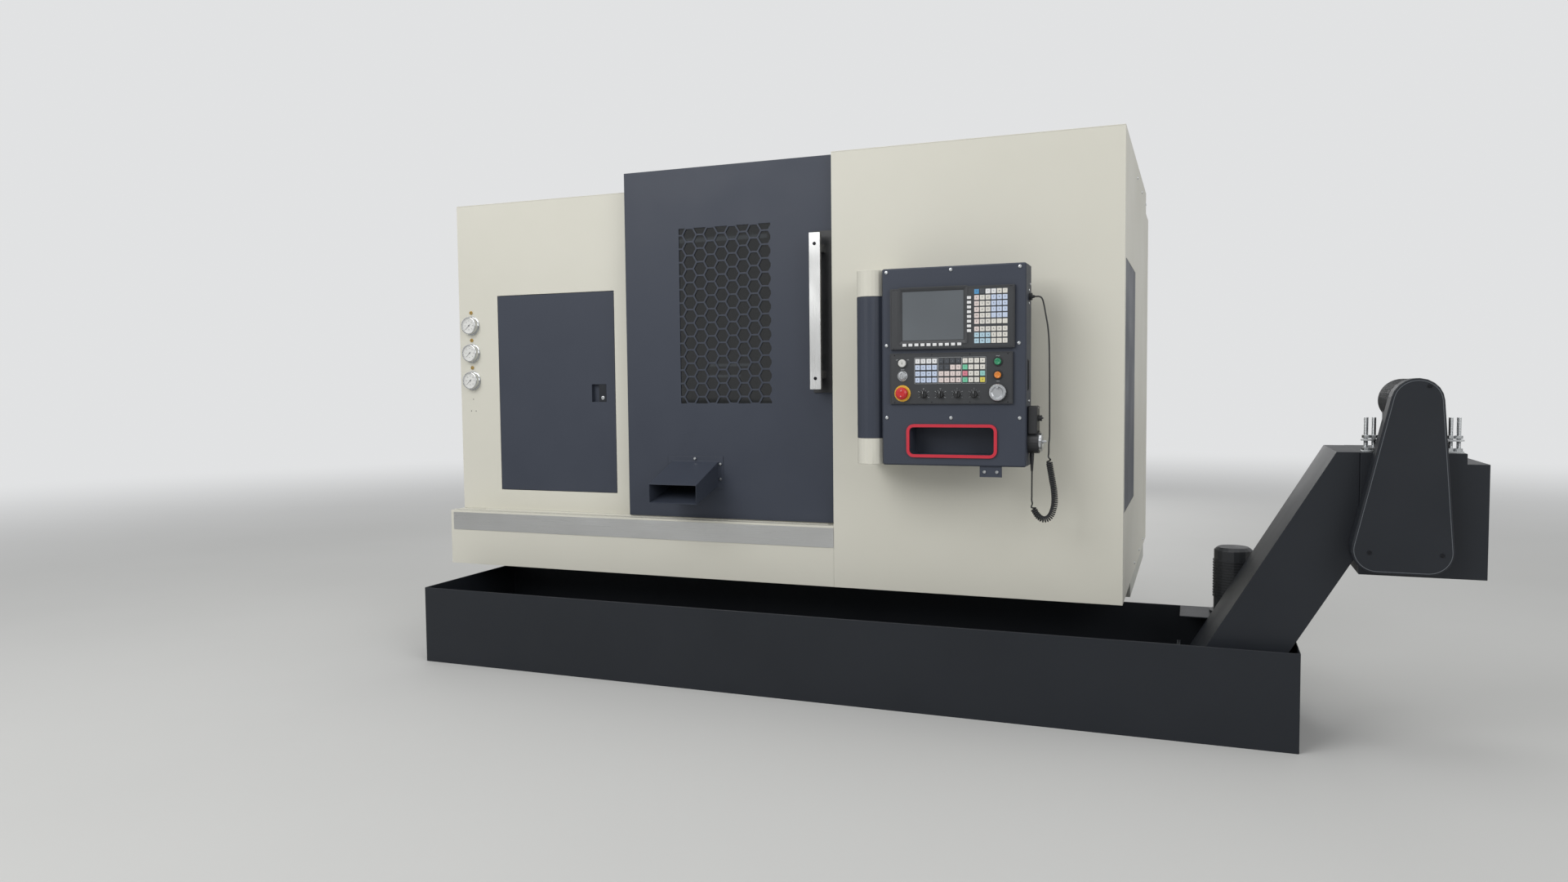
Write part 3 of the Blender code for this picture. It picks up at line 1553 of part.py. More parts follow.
def e_stop_ring():
    inner = stop_stem + button_clearance
    profile = [
        (inner, stop_ring),
        (stop_ring_radius - stop_ring / 2, stop_ring),
        (stop_ring_radius, stop_ring / 2),
        (stop_ring_radius, 0),
        (inner, 0),
        (inner, stop_ring),
    ]
    at = (box_left + switches_offset, panel_face - seam, box_bottom + stop_rise)
    return finish(turned("e_stop_ring", profile, 18, at, "-y"), yellow, smooth=True)


def e_stop_button():
    """Mushroom head on its stem."""
    under = seam + stop_ring + stop_standoff
    profile = [
        (0, under + stop_head),
        *((stop_radius * out, under + stop_head * up) for out, up in stop_dome_shares),
        (stop_radius, under),
        (stop_stem, under),
        (stop_stem, -panel_thickness + stop_travel + key_height),
        (0, -panel_thickness + stop_travel + key_height),
    ]
    at = (box_left + switches_offset, panel_face, box_bottom + stop_rise)
    return finish(turned("e_stop_button", profile, 18, at, "-y"), signal_red, smooth=True)


def push_button(name, rise, coat):
    """Cap in its bezel, with room behind it for its travel."""
    profile = [
        (0, button_rise),
        (button_radius - button_edge, button_rise),
        (button_radius, button_rise - button_edge),
        (button_radius, -panel_thickness + button_seat),
        (0, -panel_thickness + button_seat),
    ]
    at = (box_left + buttons_offset, panel_face, box_bottom + rise)
    return finish(turned(name, profile, 20, at, "-y"), coat, smooth=True)


def round_knob(name, at, radius, height, bar, skirt, towards, coat, steps=16):
    """Turned knob with a raised grip bar across its face, in front of what it turns on."""
    profile = [
        (0, height - bar),
        (radius * knob_body_share, height - bar),
        (radius * knob_body_share, skirt),
        (radius, skirt),
        (radius, seam),
        (0, seam),
    ]
    made = turned(name, profile, steps, at, towards)
    half = radius * knob_bar_width_share / 2
    reach = radius * knob_bar_length_share
    shape = bmesh.new()
    add_block(shape, (-half, -reach, height / 2), (half, reach, height))
    grip = place(name + "_grip", mesh_of(name + "_grip", shape), at, group=cutters)
    grip.rotation_euler = TOWARDS[towards].to_euler()
    join(made, grip)
    return finish(made, coat, smooth=True)


def hand_wheel(name, at, radius, height, grip_radius, grip_height, grip_share, towards):
    """Dished wheel with a small finger grip near its rim."""
    dish = height * wheel_dish_shares[0][1]
    profile = [
        (0, dish),
        *((radius * out, height * up) for out, up in wheel_dish_shares),
        (radius, seam),
        (0, seam),
    ]
    made = turned(name, profile, 18, at, towards)
    mesh = bpy.data.meshes.new(name + "_grip")
    shape = bmesh.new()
    bmesh.ops.create_cone(shape, cap_ends=True, segments=10, radius1=grip_radius,
                          radius2=grip_radius * wheel_grip_taper_share, depth=height / 2 + grip_height,
                          matrix=Matrix.Translation((0, radius * grip_share, dish + grip_height / 2)))
    shape.to_mesh(mesh)
    shape.free()
    grip = place(name + "_grip", mesh, at, group=cutters)
    grip.rotation_euler = TOWARDS[towards].to_euler()
    join(made, grip)
    return finish(made, silver, smooth=True)


def pendant_body():
    """Handheld unit: a block for the selector, a drum for the wheel and a tapered strain relief."""
    left = box_right + seam
    block_bottom = pendant_drum_z + pendant_drum_radius - pendant_block_sink
    low = (left, pendant_y - pendant_block_width / 2, block_bottom)
    high = (left + pendant_block_thickness, pendant_y + pendant_block_width / 2, pendant_block_top)
    made = block("pendant_body", low, high)
    edge = made.modifiers.new("edge", "BEVEL")
    edge.width = box_edge
    edge.segments = 1
    drum = rod(pendant_drum_radius, pendant_drum_thickness, 0)
    join(made, turned("pendant_drum", drum, 24, (left, pendant_y, pendant_drum_z), "+x", group=cutters))
    bottom = pendant_drum_z - pendant_drum_radius - relief_length
    relief = [
        (0, relief_length + relief_seat),
        (relief_top_radius, relief_length + relief_seat),
        (relief_top_radius, relief_length - relief_top_radius),
        (relief_tip_radius, 0),
        (0, 0),
    ]
    at = (box_right + relief_inset, pendant_y, bottom)
    join(made, turned("strain_relief", relief, 12, at, group=cutters))
    return finish(made, moulded)


def cord_plug():
    """Screwed plug in the box's side with its boot."""
    profile = [
        (0, plug_length + boot_length),
        (boot_tip_radius, plug_length + boot_length),
        (boot_radius, plug_length),
        (plug_radius, plug_length),
        (plug_radius, 0),
        (0, 0),
    ]
    return finish(turned("cord_plug", profile, 16, (box_right + seam, pendant_y, cord_z), "+x"), moulded, smooth=True)


def smooth_route(points, spacing):
    """Evenly spaced points on a smooth curve through a route's own points."""
    knots = [Vector(p) for p in points]
    knots = [2 * knots[0] - knots[1]] + knots + [2 * knots[-1] - knots[-2]]
    fine = []
    for a, b, c, d in zip(knots, knots[1:], knots[2:], knots[3:]):
        for step in range(12):
            t = step / 12
            fine.append(0.5 * (2 * b + (c - a) * t + (2 * a - 5 * b + 4 * c - d) * t * t
                               + (3 * b - a - 3 * c + d) * t * t * t))
    fine.append(knots[-2])
    along = [0]
    for a, b in zip(fine, fine[1:]):
        along.append(along[-1] + (b - a).length)
    count = max(2, round(along[-1] / spacing))
    route = []
    for index in range(count + 1):
        want = along[-1] * index / count
        at = next((i for i in range(1, len(along)) if along[i] >= want - merge), len(along) - 1)
        share = (want - along[at - 1]) / (along[at] - along[at - 1])
        route.append(fine[at - 1].lerp(fine[at], min(share, 1)))
    return route


def cord():
    """The handheld unit's cord as one tube, which is wide where the cord is wound."""
    curve = bpy.data.curves.new("cord", "CURVE")
    curve.dimensions = "3D"
    curve.bevel_depth = cord_radius
    curve.bevel_resolution = 2
    curve.use_fill_caps = True
    route = [(at, cord_radius) for at in smooth_route(cord_upper_points, cord_step)]
    route += [(at, coil_radius) for at in smooth_route(cord_coil_points, coil_step)]
    route += [(at, cord_radius) for at in smooth_route(cord_tail_points, cord_step)]
    spline = curve.splines.new("POLY")
    spline.points.add(len(route) - 1)
    for point, (at, radius) in zip(spline.points, route):
        point.co = (*at, 1)
        point.radius = radius / cord_radius
    made = bpy.data.objects.new("cord", curve)
    made.parent = machine
    parts.objects.link(made)
    curve.materials.append(moulded)
    return made


def main():
    left_panel()
    right_panel()
    lower_panel()
    sill_strip()
    roof_panel()
    rear_cover()
    door_panel()
    door_glass()
    door_handle()
    chip_chute()
    cabinet_door()
    cabinet_latch()
    side_door()
    for index, name in enumerate(("gauge_bottom", "gauge_middle", "gauge_top")):
        gauge(name, gauge_bottom_z + index * gauge_pitch)
    bed()
    headstock()
    chuck()
    jaws()
    spindle_motor()
    z_screw()
    carriage()
    cross_slide()
    turret_disc()
    tailstock()
    quill()
    hydraulic_unit()
    coolant_tank()
    coolant_pump()
    conveyor_trough_body()
    conveyor_incline()
    conveyor_head()
    chain_guard()
    conveyor_motor()
    swivel_post()
    control_box()
    tray_trim()
    nc_unit()
    nc_screen()
    operator_panel()
    e_stop_ring()
    e_stop_button()
    push_button("start_button", start_rise, green)
    push_button("hold_button", hold_rise, orange)
    at = (box_left + switches_offset, panel_face, box_bottom + key_switch_rise)
    round_knob("key_switch", at, switch_radius, switch_height, knob_bar / 2, knob_skirt, "-y", pale)
    at = (box_left + switches_offset, panel_face, box_bottom + selector_rise)
    round_knob("mode_selector", at, selector_radius, selector_height, knob_bar, knob_skirt, "-y", chrome)
    for index in range(knob_count):
        at = (box_left + knob_offset + index * knob_pitch, panel_face, box_bottom + knob_rise)
        round_knob("knob_%d" % (index + 1), at, knob_radius, knob_height, knob_bar, knob_skirt, "-y", moulded)
    at = (box_left + wheel_offset, panel_face, box_bottom + wheel_rise)
    hand_wheel("panel_handwheel", at, wheel_radius, wheel_height, wheel_grip_radius, wheel_grip_height,
               wheel_grip_share, "-y")
    pendant_body()
    at = (box_right + seam + pendant_block_thickness, pendant_y, dial_z)
    round_knob("pendant_knob", at, dial_radius, dial_height, dial_bar, knob_skirt, "+x", moulded)
    at = (box_right + seam + pendant_drum_thickness, pendant_y, pendant_drum_z)
    hand_wheel("pendant_wheel", at, crank_radius, crank_height, crank_grip_radius, crank_grip_height,
               crank_grip_share, "+x")
    cord_plug()
    cord()


main()
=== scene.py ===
"""Looks of a slant-bed turning lathe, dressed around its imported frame. Metres, +Z up."""

import math

import bmesh
import bpy
from mathutils import Matrix, Vector


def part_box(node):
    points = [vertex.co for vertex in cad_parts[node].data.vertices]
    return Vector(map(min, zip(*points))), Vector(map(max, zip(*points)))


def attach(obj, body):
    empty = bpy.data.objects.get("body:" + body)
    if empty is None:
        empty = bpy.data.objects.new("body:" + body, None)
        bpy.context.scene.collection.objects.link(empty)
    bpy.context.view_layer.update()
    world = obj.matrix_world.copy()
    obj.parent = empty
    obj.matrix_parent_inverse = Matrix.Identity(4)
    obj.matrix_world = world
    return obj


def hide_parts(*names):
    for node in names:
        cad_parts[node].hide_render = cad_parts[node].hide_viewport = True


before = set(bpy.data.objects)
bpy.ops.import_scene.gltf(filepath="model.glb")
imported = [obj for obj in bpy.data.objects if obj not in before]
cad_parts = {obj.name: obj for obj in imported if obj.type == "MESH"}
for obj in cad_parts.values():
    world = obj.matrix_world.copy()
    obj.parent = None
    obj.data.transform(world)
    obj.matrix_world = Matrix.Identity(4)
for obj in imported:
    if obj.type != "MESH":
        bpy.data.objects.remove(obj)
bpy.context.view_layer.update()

# Camera: eye height in front of the control station, turned towards the headstock end.
# It looks at the machine from its right, so the doors and the right side both show.
machine = Vector((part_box("left_panel")[0].x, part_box("lower_panel")[0].y, 0))
camera_place = machine + Vector((2.962, -3.650, 1.108))
camera_yaw = math.radians(21.44)
camera_pitch = math.radians(-3.164)
camera_roll = math.radians(-0.580)
level = Vector((-math.sin(camera_yaw), math.cos(camera_yaw), 0))
across = Vector((math.cos(camera_yaw), math.sin(camera_yaw), 0))
upright = Vector((0, 0, 1))
ahead = level * math.cos(camera_pitch) + upright * math.sin(camera_pitch)
above = upright * math.cos(camera_pitch) - level * math.sin(camera_pitch)
right = across * math.cos(camera_roll) + above * math.sin(camera_roll)
top = above * math.cos(camera_roll) - across * math.sin(camera_roll)
lens = bpy.data.cameras.new("camera")
lens.sensor_width = 36
lens.lens = 24.24
camera = bpy.data.objects.new("camera", lens)
turn = Matrix((right, top, -ahead)).transposed().to_4x4()
camera.matrix_world = Matrix.Translation(camera_place) @ turn
bpy.context.scene.collection.objects.link(camera)
bpy.context.scene.camera = camera
bpy.context.scene.view_settings.view_transform = "Standard"


# Floor and light: a plain pale studio floor under soft lamps, as even as daylight in a hall.
# The lamps are large, so the pale enamel stays below white and the dark doors keep their colour.
def linear(colour):
    """An sRGB hex colour as the linear one that shaders take."""
    shares = [int(colour[i:i + 2], 16) / 255 for i in (1, 3, 5)]
    return (*[s / 12.92 if s <= 0.04045 else ((s + 0.055) / 1.055) ** 2.4 for s in shares], 1)


def add(tree, kind, links=(), **settings):
    """Adds a node, with its settings, and with values or other nodes' outputs on its inputs."""
    made = tree.nodes.new(kind)
    for key, value in settings.items():
        setattr(made, key, value)
    for key, value in dict(links).items():
        if isinstance(value, bpy.types.NodeSocket):
            tree.links.new(value, made.inputs[key])
        else:
            made.inputs[key].default_value = value
    return made


def coat(name, **settings):
    """A material with its Principled shader; settings are the shader's own sockets."""
    made = bpy.data.materials.new(name)
    made.use_nodes = True
    shader = made.node_tree.nodes["Principled BSDF"]
    for key, value in settings.items():
        shader.inputs[key.replace("_", " ")].default_value = value
    return made, made.node_tree, shader


def feed(tree, shader, **outputs):
    """Links nodes' outputs to the shader's own sockets."""
    for key, output in outputs.items():
        tree.links.new(output, shader.inputs[key.replace("_", " ")])


def textured(name, colour, shade, patch, grain, height, roughness, spread, **settings):
    """A finish with soft patches of a second colour and a fine bump; patch, grain and height in metres."""
    made, tree, shader = coat(name, **settings)
    place = add(tree, "ShaderNodeTexCoord").outputs["Object"]
    cloud = add(tree, "ShaderNodeTexNoise", {"Vector": place, "Scale": 1 / patch, "Detail": 4.0})
    fine = add(tree, "ShaderNodeTexNoise", {"Vector": place, "Scale": 1 / grain, "Detail": 2.0})
    mixed = add(tree, "ShaderNodeMix", {0: cloud.outputs["Fac"], 6: linear(colour), 7: linear(shade)},
                data_type="RGBA")
    gloss = add(tree, "ShaderNodeMapRange", {
        "Value": cloud.outputs["Fac"], "From Min": 0.3, "From Max": 0.7,
        "To Min": roughness - spread, "To Max": roughness + spread})
    bump = add(tree, "ShaderNodeBump", {"Height": fine.outputs["Fac"], "Strength": 0.5, "Distance": height})
    feed(tree, shader, Base_Color=mixed.outputs[2], Roughness=gloss.outputs[0], Normal=bump.outputs[0])
    return made


floor_half = 60
floor_shape = bmesh.new()
bmesh.ops.create_grid(floor_shape, x_segments=1, y_segments=1, size=floor_half)
floor_mesh = bpy.data.meshes.new("studio_floor")
floor_shape.to_mesh(floor_mesh)
floor_shape.free()
floor_paint = textured("pale_studio_floor", "#C6C6C4", "#C0C0BE", 1.5, 0.02, 0.0002, 0.75, 0.05)
# Far from the machine the camera sees the floor run over into the backdrop, which leaves its shadow as it is.
fade_start, fade_end = 3.5, 13.0
backdrop_colour = linear("#F2F3F4")
backdrop_strength = 0.85
floor_tree = floor_paint.node_tree
floor_place = add(floor_tree, "ShaderNodeTexCoord").outputs["Object"]
floor_reach = add(floor_tree, "ShaderNodeVectorMath", {0: floor_place}, operation="LENGTH")
floor_fade = add(floor_tree, "ShaderNodeMapRange", {
    "Value": floor_reach.outputs["Value"], "From Min": fade_start, "From Max": fade_end},
    interpolation_type="SMOOTHSTEP")
floor_seen = add(floor_tree, "ShaderNodeLightPath")
floor_share = add(floor_tree, "ShaderNodeMath", {
    0: floor_fade.outputs[0], 1: floor_seen.outputs["Is Camera Ray"]}, operation="MULTIPLY")
floor_glow = add(floor_tree, "ShaderNodeEmission", {"Color": backdrop_colour, "Strength": backdrop_strength})
floor_mix = add(floor_tree, "ShaderNodeMixShader", {
    0: floor_share.outputs[0], 1: floor_tree.nodes["Principled BSDF"].outputs[0], 2: floor_glow.outputs[0]})
floor_tree.links.new(floor_mix.outputs[0], floor_tree.nodes["Material Output"].inputs["Surface"])
floor_mesh.materials.append(floor_paint)
floor = bpy.data.objects.new("studio_floor", floor_mesh)
bpy.context.scene.collection.objects.link(floor)

world = bpy.data.worlds.new("studio")
bpy.context.scene.world = world
world.use_nodes = True
sky = world.node_tree
path = add(sky, "ShaderNodeLightPath")
seen = add(sky, "ShaderNodeMath", {0: path.outputs["Is Camera Ray"], 1: path.outputs["Is Glossy Ray"]},
           operation="ADD")
shown = add(sky, "ShaderNodeMath", {0: seen.outputs[0], 1: path.outputs["Is Transmission Ray"]},
            operation="ADD", use_clamp=True)
world_strength = 0.55
strength = add(sky, "ShaderNodeMapRange", {
    "Value": shown.outputs[0], "To Min": world_strength, "To Max": backdrop_strength})
backdrop = sky.nodes["Background"]
backdrop.inputs["Color"].default_value = backdrop_colour
sky.links.new(strength.outputs[0], backdrop.inputs["Strength"])

for lamp_name, place, aim, size, power in (
    ("key_lamp", (-2.6, -5.2, 4.2), (0.0, -0.3, 0.9), 3.6, 180),
    ("fill_lamp", (4.6, -4.2, 3.0), (0.6, -0.2, 0.9), 3.0, 85),
    ("top_lamp", (0.0, -0.4, 5.2), (0.0, 0.0, 0.0), 3.6, 50),
    ("rear_lamp", (-1.0, 5.4, 3.0), (0.0, 0.5, 0.9), 3.0, 85),
):
    lamp = bpy.data.lights.new(lamp_name, "AREA")
    lamp.size = size
    lamp.energy = power
    lamp_object = bpy.data.objects.new(lamp_name, lamp)
    lamp_object.location = place
    lamp_object.rotation_euler = (Vector(aim) - Vector(place)).to_track_quat("-Z", "Y").to_euler()
    bpy.context.scene.collection.objects.link(lamp_object)


# Bed, headstock, slides, tailstock and hydraulic unit: grey iron castings under light grey enamel.
# Sand-cast skin shows through the paint as a fine unevenness; the edges are dressed round with a file.
def dress(finish, *names):
    """Gives CAD nodes their finish."""
    for name in names:
        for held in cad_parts[name].material_slots:
            held.material = finish


def soften(width, *names):
    """Rounds the sharp edges of CAD nodes by a small bevel, as folding, filing and paint leave them."""
    for name in names:
        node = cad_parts[name]
        weld = node.modifiers.new("seams_closed", "WELD")
        weld.merge_threshold = 0.00001
        bevel = node.modifiers.new("edges_rounded", "BEVEL")
        bevel.width = width
        bevel.segments = 2
        bevel.limit_method = "ANGLE"
        bevel.angle_limit = math.radians(35)
        bevel.harden_normals = True


casting_paint = textured("painted_iron_casting", "#B9BAB2", "#AFB0A8", 0.10, 0.0045, 0.00035, 0.48, 0.06)
dress(casting_paint, "bed", "headstock", "carriage", "cross_slide", "tailstock", "hydraulic_unit")
soften(0.003, "headstock", "carriage", "cross_slide", "tailstock", "hydraulic_unit")


# Spindle with its chuck, and the chuck's jaws: turned and ground alloy steel, bare and oiled.
# The lathe tool leaves fine rings about the spindle's axis, which pull each highlight into a bow tie.
def ground(name, colour, shade, axis, pitch, roughness, middle):
    """Bare metal turned or ground, with tool marks as rings about an axis through a point."""
    made, tree, shader = coat(name, Metallic=1.0)
    place = add(tree, "ShaderNodeTexCoord").outputs["Object"]
    centred = add(tree, "ShaderNodeMapping", {"Vector": place, "Location": tuple(-c for c in middle)})
    marks = add(tree, "ShaderNodeTexWave", {
        "Vector": centred.outputs[0], "Scale": math.pi / 10 / pitch, "Distortion": 0.3, "Detail": 2.0},
        wave_type="RINGS", rings_direction=axis)
    cloud = add(tree, "ShaderNodeTexNoise", {"Vector": place, "Scale": 14.0, "Detail": 3.0})
    mixed = add(tree, "ShaderNodeMix", {0: cloud.outputs["Fac"], 6: linear(colour), 7: linear(shade)},
                data_type="RGBA")
    gloss = add(tree, "ShaderNodeMapRange", {
        "Value": marks.outputs["Fac"], "To Min": roughness - 0.05, "To Max": roughness + 0.07})
    bump = add(tree, "ShaderNodeBump", {"Height": marks.outputs["Fac"], "Strength": 0.25, "Distance": 0.0001})
    feed(tree, shader, Base_Color=mixed.outputs[2], Roughness=gloss.outputs[0], Normal=bump.outputs[0])
    return made


spindle_axis = Vector((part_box("jaw_1")[1].x, machine.y + 0.500, 1.060))
turned_steel = ground("turned_alloy_steel", "#A9ABAC", "#9C9EA0", "X", 0.0016, 0.27, spindle_axis)
dress(turned_steel, "chuck", "jaw_1", "jaw_2", "jaw_3", "quill", "z_screw")


# Chuck face: serrated master jaws beside each top jaw, and the six bolts that hold the chuck to the spindle.
# Blackened alloy steel screws in counterbores; the serrations are ground across the slots.
def circle(radius, steps):
    """Points of a circle about its middle."""
    turns = [2 * math.pi * step / steps for step in range(steps)]
    return [(radius * math.cos(turn), radius * math.sin(turn)) for turn in turns]


def loft(shape, place, rings, ends=True, slot=0):
    """Adds walls between flat outlines, each with its height; without ends the last meets the first."""
    loops = [[shape.verts.new(place @ Vector((x, y, z))) for x, y in outline] for outline, z in rings]
    pairs = list(zip(loops, loops[1:]))
    if ends:
        shape.faces.new(reversed(loops[0])).material_index = slot
        shape.faces.new(loops[-1]).material_index = slot
    else:
        pairs.append((loops[-1], loops[0]))
    for low, high in pairs:
        for here in range(len(low)):
            after = (here + 1) % len(low)
            shape.faces.new((low[here], low[after], high[after], high[here])).material_index = slot


def turned(shape, place, profile, steps=32, ends=True, slot=0):
    """Adds a turned form from (radius, height) pairs about the z axis of its place, up its outer side."""
    loft(shape, place, [(circle(radius, steps), height) for radius, height in profile], ends, slot)


def mesh_piece(name, shape, finishes, body, smooth=40):
    """A finished piece from a bmesh in the machine's frame, riding on a body; finishes go to its slots."""
    mesh = bpy.data.meshes.new(name)
    shape.to_mesh(mesh)
    shape.free()
    for finish in finishes:
        mesh.materials.append(finish)
    made = bpy.data.objects.new(name, mesh)
    bpy.context.scene.collection.objects.link(made)
    return ridden(made, body, smooth)


def ridden(made, body, smooth):
    """Shades a piece smooth up to an angle and puts it on its body."""
    made.data.shade_smooth()
    made.data.set_sharp_from_angle(angle=math.radians(smooth))
    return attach(made, body)


def new_tree(name, inputs, output):
    """An empty node tree with named inputs and one geometry output."""
    tree = bpy.data.node_groups.new(name, "GeometryNodeTree")
    for socket_name, kind in inputs.items():
        tree.interface.new_socket(socket_name, in_out="INPUT", socket_type="NodeSocket" + kind)
    tree.interface.new_socket(output, in_out="OUTPUT", socket_type="NodeSocketGeometry")
    return tree


def run_tree(made, tree, values):
    """Runs a node tree on an object, with values by input name, and leaves the result as its plain mesh."""
    modifier = made.modifiers.new("tree", "NODES")
    modifier.node_group = tree
    for socket in tree.interface.items_tree:
        if socket.in_out == "INPUT" and socket.name in values:
            modifier[socket.identifier] = values[socket.name]
    plain = bpy.data.meshes.new_from_object(made.evaluated_get(bpy.context.evaluated_depsgraph_get()))
    made.modifiers.remove(modifier)
    made.data = plain


set_out_tree = new_tree("small_pieces_set_out", {
    "Places": "Geometry", "Piece": "Object", "Size": "Float", "Finish": "Material"}, "Pieces")
given = add(set_out_tree, "NodeGroupInput")
piece_read = add(set_out_tree, "GeometryNodeObjectInfo", {"Object": given.outputs["Piece"]})
turn_read = add(set_out_tree, "GeometryNodeInputNamedAttribute", {"Name": "turn"}, data_type="FLOAT_VECTOR")
turn_made = add(set_out_tree, "FunctionNodeEulerToRotation", {0: turn_read.outputs["Attribute"]})
copies = add(set_out_tree, "GeometryNodeInstanceOnPoints", {
    "Points": given.outputs["Places"], "Instance": piece_read.outputs["Geometry"],
    "Rotation": turn_made.outputs[0], "Scale": given.outputs["Size"]})
copies_real = add(set_out_tree, "GeometryNodeRealizeInstances", {"Geometry": copies.outputs["Instances"]})
copies_painted = add(set_out_tree, "GeometryNodeSetMaterial", {
    "Geometry": copies_real.outputs["Geometry"], "Material": given.outputs["Finish"]})
add(set_out_tree, "NodeGroupOutput", {"Pieces": copies_painted.outputs["Geometry"]})


def set_out(name, form, places, finish, body, smooth=40):
    """Copies of one small form at a list of places, made by the tree above, as one piece of a body."""
    form_mesh = bpy.data.meshes.new(name + "_form")
    form.to_mesh(form_mesh)
    form.free()
    form_object = bpy.data.objects.new(name + "_form", form_mesh)
    points = bpy.data.meshes.new(name + "_places")
    points.from_pydata([place.to_translation() for place in places], [], [])
    turns = points.attributes.new("turn", "FLOAT_VECTOR", "POINT")
    for index, place in enumerate(places):
        turns.data[index].vector = place.to_euler()
    made = bpy.data.objects.new(name, points)
    for placed in (form_object, made):
        bpy.context.scene.collection.objects.link(placed)
    run_tree(made, set_out_tree, {"Piece": form_object, "Size": 1.0, "Finish": finish})
    bpy.data.objects.remove(form_object)
    return ridden(made, body, smooth)


def hex_screw(across, height, depth):
    """A socket screw seen from its head: round, with a chamfered rim and a sunk middle."""
    form = bmesh.new()
    rim, socket = across * 0.12, across * 0.28
    turned(form, Matrix(), [(across / 2, 0), (across / 2, height - rim), (across / 2 - rim, height),
                            (socket, height), (socket, height - depth)], 12)
    return form


black_screw = textured("blackened_alloy_steel", "#232427", "#2C2D30", 0.004, 0.0004, 0.00004, 0.36, 0.04,
                       Metallic=0.9)
chuck_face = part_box("chuck")[1].x
chuck_radius = 0.125
jaw_turn = math.radians(45)  # of the first jaw from straight up, towards the front
across_x = Matrix.Rotation(math.radians(90), 4, "Y")


def at(x, y, z, way=Matrix()):
    """A place in the machine's frame, turned by a way."""
    return Matrix.Translation((x, y, z)) @ way


def on_chuck(turn_from_jaw, reach, side=0, out=0):
    """A place on the chuck's face, by turn from the first jaw and reach from the axis, with z outwards."""
    return (at(chuck_face + out, spindle_axis.y, spindle_axis.z)
            @ Matrix.Rotation(jaw_turn + math.radians(turn_from_jaw), 4, "X")
            @ at(0, side, reach, across_x))


screw_places = [on_chuck(60 + 120 * index + side, chuck_radius * 0.72, 0, 0.0001)
                for index in range(3) for side in (-22, 22)]
set_out("chuck_screws", hex_screw(0.015, 0.0006, 0.0005), screw_places, black_screw, "spindle")

tooth = bmesh.new()
loft(tooth, Matrix(), [([(-half, -0.0040), (half, -0.0040), (half, 0.0040), (-half, 0.0040)], height)
                       for half, height in ((0.0012, 0), (0.0004, 0.0008))])
tooth_pitch, first_tooth = 0.0038, 0.046
teeth = [on_chuck(120 * index, first_tooth + step * tooth_pitch, side * 0.0225, 0.0001)
         for index in range(3) for side in (-1, 1) for step in range(18)]
set_out("chuck_serrations", tooth, teeth, turned_steel, "spindle", 20)

ring_groove = bmesh.new()
for groove_radius in (0.060, 0.118):
    turned(ring_groove, at(chuck_face, spindle_axis.y, spindle_axis.z, across_x), [
        (groove_radius + 0.0006, 0), (groove_radius + 0.0006, 0.0003), (groove_radius, 0.0003),
        (groove_radius, 0)], 64, False)
mesh_piece("chuck_face_rings", ring_groove, [turned_steel], "spindle", 20)


# Jaw screws: two socket-head cap screws through each hard top jaw into its T-nut.
# Blackened steel, with their heads in counterbores on the jaw's outer step.
jaw_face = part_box("jaw_1")[1].x
for index in range(3):
    jaw_screws = [on_chuck(120 * index, reach, 0, jaw_face - chuck_face - sunk)
                  for reach, sunk in ((0.062, 0), (0.098, 0.0225))]
    set_out("jaw_%d_screws" % (index + 1), hex_screw(0.013, 0.0006, 0.0005), jaw_screws, black_screw,
            "chuck_jaw_%d" % (index + 1))


# Swivel hubs and the control box: folded and welded 2 mm sheet, the box in dark blue-grey powder coat.
# The box is screwed to the tube at its left edge, which turns on the pin between the two cream hubs.
# The powder's fine orange peel leaves wide, dull highlights on the dark sheet.
powder_coat = textured("graphite_powder_coat", "#353A45", "#3B404B", 0.22, 0.0009, 0.00010, 0.47, 0.06,
                       Specular_IOR_Level=0.28)
dress(powder_coat, "control_box")
soften(0.0025, "control_box")
soften(0.002, "swivel_post")
zinc_screw = ground("zinc_plated_steel", "#C9CBCC", "#B4B7B9", "Y", 0.0008, 0.28, (0, 0, 0))
tray_inset, tray_rise = 0.083, 0.027  # of the tray's trim from the face's lower left corner
face_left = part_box("tray_trim")[0].x - tray_inset
face_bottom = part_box("tray_trim")[0].z - tray_rise
face_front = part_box("tray_trim")[1].y + 0.0003
facing = Matrix.Rotation(math.radians(90), 4, "X")


def on_face(u, w, out=0):
    """A place on the control box's front, from its lower left corner, with z towards the operator."""
    return at(face_left + u, face_front - out, face_bottom + w, facing)


def pan_screw(radius, height):
    """A pan-head screw, with its recess as a small hollow."""
    form = bmesh.new()
    turned(form, Matrix(), [(radius, 0), (radius, height * 0.4), (radius * 0.82, height * 0.85),
                            (radius * 0.42, height), (radius * 0.30, height * 0.35)], 14)
    return form


face_screws = [on_face(u, w) for w in (0.6402, 0.1580) for u in (0.0155, 0.2325, 0.4550)]
face_screws += [on_face(u, 0.3980) for u in (0.0155, 0.4525)]
set_out("face_screws", pan_screw(0.0062, 0.0030), face_screws, zinc_screw, "control_station")

